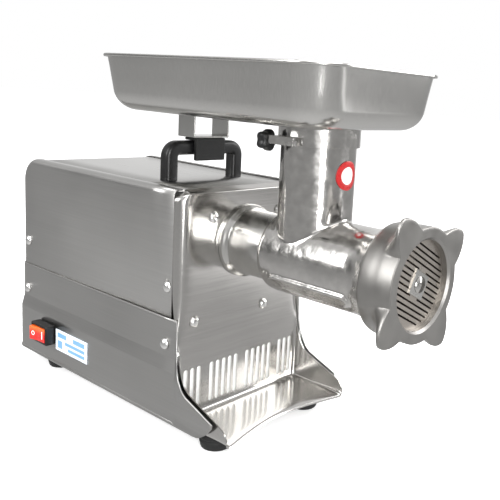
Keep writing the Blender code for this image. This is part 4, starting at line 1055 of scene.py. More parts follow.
@dataclass
class FrontCover:
    """The bright front plate that folds forward into a drip shelf between two cheeks."""

    half: float = BODY_HALF
    top: float = 219.7 * MM
    wall: float = SHEET
    corner: float = 11 * MM
    roll: float = 10 * MM
    top_roll: float = 3 * MM
    reach: float = 73 * MM
    hollow: float = 16.5 * MM
    fold: float = 5 * MM
    shelf_z: float = 2.7 * MM
    lip_drop: float = 2.5 * MM
    cheek_top: float = 72 * MM
    bend: tuple = (-18 * MM, 33.5 * MM)
    nose: tuple = (-58 * MM, 18.5 * MM)
    slots: tuple = (1, 2, 3, 4, 5, 7, 8, 9)
    pitch: float = 7.8 * MM
    slot_low: float = 10 * MM
    slot_width: float = 4.8 * MM
    slot_height: float = 40 * MM
    through: float = 10 * MM
    neck_hole: float = 29.6 * MM
    # Box of the white sheet behind the slots, painted light for the lit inside seen through them.
    backing_box: tuple = ((-74 * MM, 1.7 * MM, 4.2 * MM), (74 * MM, 2.8 * MM, 56 * MM))

    def cheek_edge(self) -> np.ndarray:
        """The cheek's edge: a sweep out of the plate, a straight slope and a round nose.

        Returns:
            Its points (y, z), from the plate forward.
        """
        bend, nose = np.array(self.bend), np.array(self.nose)
        slope = nose - bend
        t = np.linspace(0, 1, 6)[:, None]
        start = np.array((0.0, self.cheek_top))
        sweep = (1 - t) ** 2 * start + 2 * t * (1 - t) * (bend - 0.32 * slope) + t ** 2 * bend
        tip = np.array((-self.reach + 2.5 * MM, 4 * MM))
        t = np.linspace(0, 1, 5)[:, None]
        end = (1 - t) ** 2 * nose + 2 * t * (1 - t) * np.array((tip[0], nose[1] - 4 * MM)) + t ** 2 * tip
        return np.concatenate([sweep, bend + slope * np.array([[0.34], [0.68]]), end])

    def cheek_height(self, y: np.ndarray) -> np.ndarray:
        """Height of the cheek's edge at y."""
        edge = self.cheek_edge()
        return np.interp(-y, -edge[:, 0], edge[:, 1])

    def plate_rows(self) -> np.ndarray:
        """The upright plate: a flat middle, and sides that roll back a quarter turn.

        Returns:
            Rows of points, from the top down.
        """
        a = np.radians(np.linspace(90, 0, 5))
        half = np.concatenate([self.half - self.corner * (1 - np.cos(a)), np.full(4, self.half)])
        z = np.concatenate([self.top - self.corner * (1 - np.sin(a)) - self.top_roll * np.sin(a),
                            [165 * MM, 120 * MM, 100 * MM, self.cheek_top + 8 * MM]])
        roll = np.concatenate([self.roll * np.cos(a), np.full(4, self.roll)])[:, None]
        depth = self.roll * np.concatenate([np.ones(5), [1.0, 1.0, 0.6, 0.1]])[:, None]
        turn = np.radians((22.5, 45, 67.5, 90))
        x = np.linspace(-1, 1, 13) * (half[:, None] - roll)
        edge_x = half[:, None] - roll * (1 - np.sin(turn))
        edge_y = depth * (1 - np.cos(turn))
        xs = np.concatenate([-edge_x[:, ::-1], x, edge_x], axis=1)
        ys = np.concatenate([edge_y[:, ::-1], 0 * x, edge_y], axis=1)
        rows = np.stack([xs, ys, z[:, None] + 0 * xs], axis=-1)
        back = rows[:1] * (1, 0.1, 0) + (0, self.roll - 1 * MM, self.top)
        return np.concatenate([back, rows])

    def shelf_rows(self) -> np.ndarray:
        """Rows below the cheeks' tops: middle points down the plate and out along the shelf.

        Each row's sides leave the middle through a fold of constant radius and end on the cheek's edge.

        Returns:
            Rows of points, from the plate down and forward to the lip.
        """
        inner = self.half - self.wall - self.fold
        x = np.linspace(-1, 1, 13) * inner
        fold = arc((-self.fold, self.shelf_z + self.fold), self.fold, 0, -90, 3)
        fixed = np.concatenate([[(0.0, z * MM) for z in (55.5, 42, 30, 18)], fold,
                                [(y * MM, self.shelf_z) for y in (-20, -36)]])
        lip = -(self.reach - self.hollow * (1 - np.abs(x / self.half) ** 1.6))
        ys = np.concatenate([fixed[:, :1] + 0 * x, lip + np.array([[4.0], [1.2], [0.0]]) * MM])
        zs = np.concatenate([fixed[:, 1:] + 0 * x,
                             self.shelf_z - self.lip_drop * np.array([[0.0], [0.3], [1.0]]) + 0 * x])
        middle = np.stack([x + 0 * ys, ys, zs], axis=-1)
        start, end = middle[:, -1, 1:], self.cheek_edge()[1:]
        span = end - start
        length = np.linalg.norm(span, axis=1, keepdims=True)
        fold = np.minimum(self.fold, 0.6 * length)
        a = np.radians((30, 60, 90))
        flat = start[:, None] + (span / length * fold)[:, None] * (1 - np.cos(a))[None, :, None]
        out = inner + self.fold * np.sin(a)[None, :, None] + 0 * flat[..., :1]
        edge = np.concatenate([out, flat], axis=-1)
        tip = np.concatenate([0 * end[:, :1] + self.half - self.wall, end], axis=-1)[:, None]
        edge = np.concatenate([edge, tip], axis=1)
        return np.concatenate([edge[:, ::-1] * (-1, 1, 1), middle, edge], axis=1)

    def build(self) -> None:
        """The plate with its slots and the neck's hole, and the white sheet behind the slots, which is
        painted light for the lit inside seen through them.
        """
        points = np.concatenate([self.plate_rows(), self.shelf_rows()])
        quads = grid_faces(*points.shape[:2]).reshape(-1, 4)
        plate = made_object("front_plate_shell", points, quads.tolist(), closed=False)
        smooth = plate.modifiers.new("Smooth", "SUBSURF")
        smooth.levels = smooth.render_levels = 2
        add_wall(plate, self.wall, 1.0)
        mesh_of(plate)
        cutters = [prism("slot", slot_outline(side * i * self.pitch, self.slot_low, self.slot_width,
                                              self.slot_height), -self.through, self.through)
                   for i in self.slots for side in (-1, 1)]
        bore = np.array([(POLE, self.through), (self.neck_hole, self.through),
                         (self.neck_hole, -self.through), (POLE, -self.through)])
        cutters.append(turned("hole", bore, Axis.Y, (0, 0, AXIS_Z), 64))
        fit(carve(plate, cutters, 30.0), COVER, "chassis", "front_plate")
        # The white sheet behind the slots is painted light: it stands in for the lit inside seen through
        # them.
        fit(round_box("vent_felt", *self.backing_box, 0.3 * MM, 1), SLOT_LIGHT, "chassis", slot="label")


@dataclass
class PowerSwitch:
    """The raised switch housing with its rocker and the rocker's marks."""

    y: float = SWITCH_Y
    z: float = SWITCH_Z
    pivot_x: float = -92.5 * MM
    crown: float = 5.2 * MM
    tilt: float = 8.0
    hollow: float = 0.55
    bar_u: float = -8.2 * MM
    bar_half: tuple = (0.75 * MM, 4.3 * MM)
    bar_round: float = 0.3
    ring_u: float = 6.8 * MM
    ring_r: float = 2.0 * MM
    ring_tube: tuple = (0.45 * MM, 0.2 * MM)

    def on_rocker(self, u: np.ndarray, v: np.ndarray, out: np.ndarray) -> np.ndarray:
        """Points on the rocker's hollow face, turned with the rocker.

        Args:
            u: Their place along the rocker.
            v: Their height from its middle.
            out: How far they stand out from its face.

        Returns:
            The points, in an array that ends in 3.
        """
        lean = math.tan(math.radians(self.tilt)) * self.hollow
        x = -self.crown - lean * np.abs(u) - out
        c, s = math.cos(math.radians(self.tilt)), math.sin(math.radians(self.tilt))
        return np.stack([self.pivot_x + x * c - u * s, self.y + x * s + u * c, self.z + v + 0 * u], axis=-1)

    def mark(self, name: str, rings: np.ndarray) -> None:
        """A raised white mark: rings of (u, v, out) on the rocker's face."""
        points = self.on_rocker(rings[..., 0], rings[..., 1], rings[..., 2])
        fit(ring_solid(name, points), WHITE, "rocker", slot="red_rocker")

    def build(self) -> None:
        """Dress the housing and the rocker, and add a bar and a ring as marks."""
        fit(refit("switch_housing", 0.5 * MM), BLACK, "chassis", slot="black_plastic")
        low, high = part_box("switch_rocker")
        red = LitRocker("red_polycarbonate", "#c2170f", 0.22, low=low[2], high=high[2])
        fit(refit("switch_rocker", 0.5 * MM), red, "rocker", slot="red_rocker")
        around = np.linspace(0, math.tau, 28, endpoint=False)[None, :]
        cos, sin = np.cos(around), np.sin(around)
        wide, tall = self.bar_half
        bar = np.stack([self.bar_u + wide * np.sign(cos) * np.abs(cos) ** self.bar_round,
                        tall * np.sign(sin) * np.abs(sin) ** self.bar_round, 0 * around], axis=-1)
        self.mark("rocker_bar_mark", np.concatenate([bar - (0, 0, 0.1 * MM), bar + (0, 0, 0.15 * MM)]))
        tube = np.linspace(0, math.tau, 9)[:, None]
        thick, proud = self.ring_tube
        radius = self.ring_r + thick * np.cos(tube)
        ring = np.stack([self.ring_u + radius * cos, radius * sin,
                         proud * np.sin(tube) + 0 * around], axis=-1)
        self.mark("rocker_ring_mark", ring)


@dataclass
class CarryHandle:
    """A D of square bar with rounded corners."""

    width: float = 98 * MM
    bar: float = 14 * MM
    height: float = 39 * MM
    y: float = 69 * MM
    foot: float = 218.8 * MM
    bend: float = 9 * MM
    edge: float = 4 * MM

    def build(self) -> None:
        """Sweep a rounded square along two posts and a grip."""
        half = (self.width - self.bar) / 2
        top = self.foot + self.height - self.bar / 2
        rise = np.linspace(self.foot, top - self.bend, 6)[:-1]
        left = np.concatenate([np.stack([np.full(5, -half), rise], axis=-1),
                               arc((-half + self.bend, top - self.bend), self.bend, 180, 90, 13)])
        grip = np.stack([np.linspace(-half + self.bend, 0, 8)[1:], np.full(7, top)], axis=-1)
        left = np.concatenate([left, grip])
        flat = np.concatenate([left, left[-2::-1] * (-1, 1)])
        path = np.stack([flat[:, 0], 0 * flat[:, 0] + self.y, flat[:, 1]], axis=-1)
        reach = self.bar / 2 - self.edge
        corners = [arc((sx * reach, sy * reach), self.edge, start, start + 90, 7)
                   for sx, sy, start in ((1, 1, 0), (-1, 1, 90), (-1, -1, 180), (1, -1, 270))]
        fit(swept("carry_handle_bar", path, np.concatenate(corners)), BLACK, "chassis", "carry_handle")


# ---------------------------------------------------------------- grinding head
@dataclass
class GrindingHead:
    """Neck, barrel with its throat, hole plate, ring nut and what turns inside."""

    axis_z: float = AXIS_Z
    neck_r: float = 32 * MM
    neck_bore: float = 29.3 * MM
    neck_l: float = 50 * MM
    throat_y: float = THROAT_Y
    throat_r: float = 33.9 * MM
    throat_top: float = 286.2 * MM
    barrel_r: float = 38 * MM
    barrel_bore: float = 33.5 * MM
    tail: float = 50.5 * MM
    tail_bore: float = 22.5 * MM
    knife_room: float = 183.5 * MM
    knife_bore: float = 39.5 * MM
    plate_bore: float = 41.3 * MM
    throat_bore: float = 30.5 * MM
    rib_span: tuple = (-158 * MM, -65 * MM)
    rib_half: float = 6.5 * MM
    rib_lean: float = 31.0
    front: float = 200.5 * MM
    thread_r: float = 46.2 * MM
    seat: float = 193.5 * MM
    plate_r: float = 41 * MM
    plate_t: float = 8 * MM
    plate_lean: float = -28.0
    slot_reach: float = 35.5 * MM
    slot_pitch: float = 4.6 * MM
    slot_half: float = 0.8 * MM
    slot_least: float = 9 * MM
    hub_clear: float = 12.5 * MM
    hub_half: float = 10.5 * MM
    hub_bore: float = 7.6 * MM
    shaft_hole: float = 7.5 * MM
    hub_rows: tuple = (201.5 * MM, 203.0 * MM, 203.6 * MM)
    nut_r: float = 48.8 * MM
    nut_front: float = 208.5 * MM
    nut_body: float = 193 * MM
    nut_rear: float = 174.5 * MM
    nut_seat: float = 201.9 * MM
    lobe: float = 20.5 * MM
    lobe_half: float = 21.0
    nut_turn: float = 33.0
    opening: float = 38 * MM
    voxel: float = 1.15 * MM
    badge_z: float = 245 * MM

    @property
    def at(self) -> tuple:
        """The grinding axis where it passes y = 0."""
        return (0.0, 0.0, self.axis_z)

    def neck(self) -> None:
        """The socket: a weld collar that runs into a turned tube."""
        outline = rounded([(self.neck_bore, GAP), (36 * MM, GAP), (36 * MM, 4 * MM, 1.5 * MM),
                           (self.neck_r + 1.0 * MM, 7.4 * MM, 2.5 * MM), (self.neck_r, 11 * MM, 3 * MM),
                           (self.neck_r, self.neck_l, 1 * MM), (self.neck_bore, self.neck_l, 0.4 * MM),
                           (self.neck_bore, GAP)], 6)
        fit(turned("head_neck_socket", outline, Axis.Y, self.at, 96), NECK_METAL, "chassis", "head_neck")

    def rib(self, side: int) -> bpy.types.Object:
        """A round-ended rib on the barrel's flank: a stadium pushed out along a leaning normal.

        Args:
            side: -1 for the left flank, 1 for the right one.

        Returns:
            The solid, still to be joined.
        """
        front, rear = self.rib_span
        half = self.rib_half
        a = np.radians(np.concatenate([np.linspace(-90, 90, 13), np.linspace(90, 270, 13)]))
        along = np.where(np.arange(26) < 13, rear - half, front + half) + half * np.cos(a)
        across = half * np.sin(a)
        lean = math.radians(self.rib_lean)
        out = np.array((side * math.cos(lean), 0.0, -math.sin(lean)))
        up = np.array((side * math.sin(lean), 0.0, math.cos(lean)))
        rows = [np.array(self.at) + out * radius + up * (across * shrink)[:, None]
                + np.array((0.0, 1.0, 0.0)) * along[:, None]
                for radius, shrink in ((36 * MM, 1.0), (40.2 * MM, 1.0), (41 * MM, 0.86))]
        return ring_solid("rib", np.array(rows))

    def barrel(self) -> None:
        """The casting: barrel, throat and ribs fused on a fine voxel grid, relaxed, then bored."""
        b, r = self.tail, self.barrel_r
        outline = rounded([(POLE, -6 * MM), (29 * MM, -6 * MM, 1 * MM), (29 * MM, b, 0.4 * MM),
                           (r - 4.5 * MM, b, 0.4 * MM), (r, b + 2.5 * MM, 4 * MM), (r, 160 * MM, 8 * MM),
                           (self.thread_r - 1.5 * MM, 176.5 * MM, 5 * MM), (self.thread_r, 180 * MM, 2 * MM),
                           (self.thread_r, self.front, 0.6 * MM), (POLE, self.front)], 6)
        body = turned("head_barrel_casting", outline, Axis.Y, self.at, 128)
        throat = turned("throat", np.array([(POLE, self.throat_top), (self.throat_r, self.throat_top),
                                            (self.throat_r, self.axis_z), (POLE, self.axis_z)]),
                        Axis.Z, (0, self.throat_y, 0), 128)
        gather(body.data, [throat, self.rib(-1), self.rib(1)])
        fuse = body.modifiers.new("Fuse", "REMESH")
        fuse.mode, fuse.voxel_size = "VOXEL", self.voxel
        relax = body.modifiers.new("Relax", "SMOOTH")
        relax.factor, relax.iterations = 0.5, 8
        mesh_of(body, 60.0)
        rear, ahead, above = -20 * MM, 230 * MM, 300 * MM
        bore = np.array([
            (POLE, rear), (self.tail_bore, rear), (self.tail_bore, 51 * MM), (self.barrel_bore, 51 * MM),
            (self.barrel_bore, self.knife_room), (self.knife_bore, self.knife_room),
            (self.knife_bore, self.seat), (self.plate_bore, self.seat), (self.plate_bore, ahead),
            (POLE, ahead)])
        down = np.array([(POLE, above), (self.throat_bore, above), (self.throat_bore, self.axis_z),
                         (POLE, self.axis_z)])
        bores = [turned("bore", bore, Axis.Y, self.at, 96),
                 turned("throat_bore", down, Axis.Z, (0, self.throat_y, 0), 96)]
        for cutter in bores:
            carve(body, [cutter], 60.0)
        fit(body, CASTING, "head", "head_barrel")

    def badge(self) -> None:
        """A plain white disc with a red rim, both bent round the throat."""
        around = np.linspace(0, math.tau, 65)[:-1]
        disc = ((0.05, 6.0, 11.9, 12.2, 12.2), (0.45, 0.45, 0.45, 0.35, 0.0))
        rim = ((7.6, 7.6, 7.8, 12.5, 12.8, 12.8), (0.3, 0.5, 0.6, 0.6, 0.5, 0.05))
        for name, (rhos, outs), finish, nodes in (("throat_badge_disc", disc, WHITE, ("throat_badge",)),
                                                  ("throat_badge_rim", rim, RED, ())):
            rho = np.array(rhos)[:, None] * MM
            radius = self.throat_r + GAP + np.array(outs)[:, None] * MM
            angle = rho * np.cos(around) / self.throat_r
            points = np.stack([radius * np.sin(angle), self.throat_y - radius * np.cos(angle),
                               self.badge_z + rho * np.sin(around)], axis=-1)
            fit(ring_solid(name, points), finish, "head", *nodes, slot="badge")

    def plate_outlines(self) -> list[np.ndarray]:
        """The plate's flat outlines: its rim, the shaft's hole and the leaning slots.

        Returns:
            Closed outlines of (x, z) points from the plate's middle.
        """
        outlines = [arc((0, 0), self.plate_r, 0, 360, 121)[:-1],
                    arc((0, 0), self.shaft_hole, 0, 360, 33)[:-1]]
        hub, half = self.hub_clear, self.slot_half
        count = int(self.slot_reach / self.slot_pitch)
        for v in (np.arange(2 * count) - count + 0.5) * self.slot_pitch:
            end = math.sqrt(self.slot_reach ** 2 - v * v)
            start = math.sqrt(max(0.0, hub ** 2 - v * v)) + 1 * MM
            spans = [(start, end), (-end, -start)] if abs(v) < hub else [(-end, end)]
            for near, far in spans:
                if far - near > self.slot_least:
                    ends = [arc((near + half, v), half, 90, 270, 7), arc((far - half, v), half, -90, 90, 7)]
                    outlines.append(np.concatenate(ends) @ self.lean())
        return outlines

    def hole_plate(self) -> None:
        """The plate: a disc with leaning parallel slots, filled as a flat curve and laid on its seat."""
        curve = bpy.data.curves.new("plate", "CURVE")
        curve.dimensions, curve.fill_mode, curve.extrude = "2D", "BOTH", self.plate_t / 2
        outlines = self.plate_outlines()
        for outline in outlines:
            spline = curve.splines.new("POLY")
            spline.points.add(len(outline) - 1)
            spline.points.foreach_set("co", np.pad(outline, ((0, 0), (0, 2))).ravel())
            spline.use_cyclic_u = True
        flat = new_object("plate", curve)
        bpy.context.view_layer.update()
        mesh = bpy.data.meshes.new_from_object(flat.evaluated_get(bpy.context.evaluated_depsgraph_get()))
        bpy.data.objects.remove(flat, do_unlink=True)
        co = np.empty(len(mesh.vertices) * 3)
        mesh.vertices.foreach_get("co", co)
        co = co.reshape(-1, 3)
        y = -(self.seat + GAP + self.plate_t / 2)
        points = np.stack([co[:, 0], y - co[:, 2], self.axis_z + co[:, 1]], axis=-1)
        faces = [list(p.vertices) for p in mesh.polygons]
        fit(made_object("hole_plate_disc", points, faces, sharp=30.0), PLATE_METAL, "head", "hole_plate")

    def plate_hub(self) -> None:
        """The plate's square hub, leaning as the slots do, round the shaft's hole."""
        h = self.hub_half
        side = np.array([(h, h), (-h, h), (-h, -h), (h, -h)]) @ self.lean()
        ring = arc((0, 0), self.hub_bore, 45, 405, 5)[:-1] @ self.lean()
        base, edge, face = self.hub_rows
        rows = [np.stack([xz[:, 0], np.full(4, -y), self.axis_z + xz[:, 1]], axis=-1)
                for xz, y in ((ring, base), (side, base), (side, edge), (side * 0.93, face), (ring, face),
                              (ring, base))]
        fit(ring_solid("hole_plate_hub", np.array(rows), 20.0), NECK_METAL, "head", slot="tool_steel")

    def lean(self) -> np.ndarray:
        """The turn, for rows of (x, z) points, by which the plate's slots lean."""
        c, s = math.cos(math.radians(self.plate_lean)), math.sin(math.radians(self.plate_lean))
        return np.array([[c, s], [-s, c]])

    def ring_nut(self) -> None:
        """The ring nut: a section carried round the axis, its outer radius swelled by four lobes.

        At an angle the radius grows by weight * lobe * (1 - |t|^1.5), where t runs from -1 to 1 across a
        lobe, and the weight fades from the front rim to the skirt.
        """
        steps = 400
        angle = np.linspace(0, 360, steps, endpoint=False)
        t = ((angle - 90 - self.nut_turn + 45) % 90 - 45) / self.lobe_half
        swell = np.clip(1 - (t * t + 0.004) ** 0.75, 0, None) * self.lobe
        n, f, b = self.nut_r, self.nut_front, self.nut_body
        seat, rear = self.nut_seat, self.nut_rear
        rows = [(self.opening, seat, 0), (self.opening, f - 2 * MM, 0), (self.opening + 2 * MM, f, 0),
                (n - 6 * MM, f, 0), (n - 3 * MM, f, 0.90), (n - 1.4 * MM, f, 0.985),
                (n - 0.4 * MM, f - 0.3 * MM, 0.998), (n, f - 0.9 * MM, 1), (n, f - 2 * MM, 1),
                (n, f - 3.1 * MM, 0.995), (n, f - 4.2 * MM, 0.93), (n, f - 6 * MM, 0.79),
                (n, f - 9 * MM, 0.54), (n, b + 3 * MM, 0.24), (n - 0.1 * MM, b + 1.5 * MM, 0.12),
                (n - 0.2 * MM, b, 0.04), (n - 0.4 * MM, b - 1.5 * MM, 0), (n - 0.6 * MM, b - 6 * MM, 0),
                (n - 1.0 * MM, rear + 3 * MM, 0), (n - 1.8 * MM, rear + 0.5 * MM, 0), (n - 2.2 * MM, rear, 0),
                (self.thread_r + GAP, rear, 0), (self.thread_r + GAP, seat, 0), (self.opening, seat, 0)]
        obj = turned("ring_nut_casting", np.array(rows), Axis.Y, self.at, steps, shape=swell, sharp=35.0)
        fit(obj, NUT_METAL, "nut", "ring_nut")

    def build(self) -> None:
        """Build the head and dress what turns inside it."""
        self.neck()
        self.barrel()
        self.badge()
        self.hole_plate()
        self.plate_hub()
        self.ring_nut()
        fit(refit("auger", 0.0, 50.0), CASTING, "worm", slot="cast_metal")
        fit(refit("cross_knife", 0.3 * MM), PLATE_METAL, "worm", slot="tool_steel")
        dress_node("auger_bush", NYLON)


# ---------------------------------------------------------------- tray and knobs
@dataclass
class FeedTray:
    """The feed tray with its collar, bracket and saddle."""

    width: float = 181.5 * MM
    front: float = -163.5 * MM
    rear: float = 131 * MM
    low: float = 286.5 * MM
    depth: float = 50.5 * MM
    wall: float = 1.0 * MM
    lip: float = 4.5 * MM
    taper: float = 6.5 * MM
    corner: float = 30 * MM
    foot: float = 16 * MM
    throat: tuple = (0.0, THROAT_Y)
    hole: float = 30.5 * MM

    def loop(self, inset: float, z: float, corner: float) -> np.ndarray:
        """A rounded rectangle at a height, always with the same number of points.

        Args:
            inset: How far it is drawn in from the tray's outer edge.
            z: Its height.
            corner: Radius of its corners.

        Returns:
            Its points, going round once.
        """
        hx, hy = self.width / 2 - inset, (self.rear - self.front) / 2 - inset
        a = np.radians(np.linspace(0, 90, 15))
        quarter = np.stack([hx - corner + corner * np.cos(a), hy - corner + corner * np.sin(a)], axis=-1)
        quarters = [quarter, quarter[::-1] * (-1, 1), -quarter, quarter[::-1] * (1, -1)]
        parts = []
        for one, after in zip(quarters, quarters[1:] + quarters[:1]):
            gap = np.linspace(0, 1, 10)[1:-1, None]
            parts += [one, one[-1] * (1 - gap) + after[0] * gap]
        flat = np.concatenate(parts) + (0, (self.front + self.rear) / 2)
        return np.concatenate([flat, np.full((len(flat), 1), z)], axis=1)

    def tray(self) -> None:
        """The tray: loops from the turned-down lip over the rim, down the wall and in to the throat."""
        top = self.low + self.depth
        loops = [self.loop(0.3 * MM, top - 3 * MM, self.corner + self.lip),
                 self.loop(0, top - 2 * MM, self.corner + self.lip),
                 self.loop(0, top - 1.1 * MM, self.corner + self.lip),
                 self.loop(0.35 * MM, top - 0.3 * MM, self.corner + self.lip),
                 self.loop(1.2 * MM, top, self.corner + self.lip - 1 * MM),
                 self.loop(self.lip - 1.2 * MM, top, self.corner + 1 * MM),
                 self.loop(self.lip - 0.3 * MM, top - 0.3 * MM, self.corner),
                 self.loop(self.lip, top - 1.3 * MM, self.corner)]
        for z in (top - 12 * MM, top - 22 * MM, self.low + self.foot):
            loops.append(self.loop(self.lip + self.taper * (top - z) / self.depth, z, self.corner))
        for phi in np.radians(np.linspace(90, 0, 10))[1:]:
            z = self.low + self.foot * (1 - math.cos(phi))
            inset = self.lip + self.taper * (top - z) / self.depth + self.foot * (1 - math.sin(phi))
            loops.append(self.loop(inset, z, self.corner - 0.75 * self.foot * (1 - math.sin(phi))))
        edge = loops[-1]
        away = edge[:, :2] - self.throat
        away /= np.linalg.norm(away, axis=1, keepdims=True)
        rim = np.concatenate([self.throat + away * self.hole, edge[:, 2:]], axis=1)
        loops += [edge * (1 - t) + rim * t for t in (0.25, 0.5, 0.75, 0.97, 1.0)]
        points = np.array(loops)
        points = np.concatenate([points, points[:, :1]], axis=1)
        tray = sheet("feed_tray_pan", points, self.wall)
        fit(tray, TRAY, "tray", "feed_tray")

    def build(self) -> None:
        """Build the tray and dress what carries it."""
        self.tray()
        fit(refit("tray_collar", 0.5 * MM), CASTING, "tray", slot="cast_metal")
        fit(refit("tray_bracket", 0.4 * MM), TRAY, "tray", slot="sheet_steel")
        fit(refit("tray_saddle", 1.2 * MM, segments=3), RUBBER, "tray", slot="foot_rubber")


@dataclass
class StarKnob:
    """A five-lobed hand knob on a steel stem."""

    node: str
    body: str
    at: tuple
    axis: Axis
    stem: tuple
    radius: float = 9.8 * MM
    thick: float = 10 * MM

    def build(self) -> None:
        """Turn the knob with five lobes, r = R (0.9 + 0.1 cos 5a), and its plain stem."""
        steps, low = 120, 0.02
        lobes = 0.1 * self.radius * (np.cos(5 * np.linspace(0, math.tau, steps, endpoint=False)) - 1)
        side = 1 if self.axis is Axis.X else -1
        r = self.radius / MM
        outline = np.array([(low, 1.0, 0), (3.2, 1.0, 0), (3.6, 0.86, 0), (4.4, 0.86, 0),
                            (r - 2.2, 0.98, 0.7), (r - 1, 0.86, 0.9), (r - 0.25, 0.6, 1), (r, 0.25, 1),
                            (r, -0.25, 1),
                            (r - 0.25, -0.6, 1), (r - 1.2, -0.9, 0.9), (r - 2.6, -1.0, 0.6), (low, -1.0, 0)])
        outline *= (MM, side * self.thick / 2, 1)
        knob = turned(self.node + "_grip", outline, self.axis, self.at, steps, shape=lobes)
        fit(knob, BLACK, self.body, self.node)
        start, end = self.stem
        chamfer = math.copysign(0.6 * MM, end - start)
        rod = np.array([(POLE, start), (2.8 * MM, start), (2.8 * MM, end - chamfer), (2.2 * MM, end),
                        (POLE, end)])
        stem = turned(self.node + "_stem", rod, self.axis, self.at, 32)
        fit(stem, BOLT_METAL, self.body, slot="bolt_steel")


# ---------------------------------------------------------------- drive inside the body
def dress_drive() -> None:
    """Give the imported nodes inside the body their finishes."""
    finishes = {
        "gearbox_case": NUT_METAL, "gearbox_cover": NUT_METAL, "motor_cap_front": NUT_METAL,
        "motor_cap_rear": NUT_METAL, "countershaft": GEAR_METAL, "output_gear": GEAR_METAL,
        "output_shaft": GEAR_METAL, "output_bearing": GEAR_METAL, "motor_stator": IRON,
        "motor_rotor": IRON, "motor_fan": BLACK, "capacitor": WHITE, "oil_seal": SEAL}
    for node, finish in finishes.items():
        dress_node(node, finish)


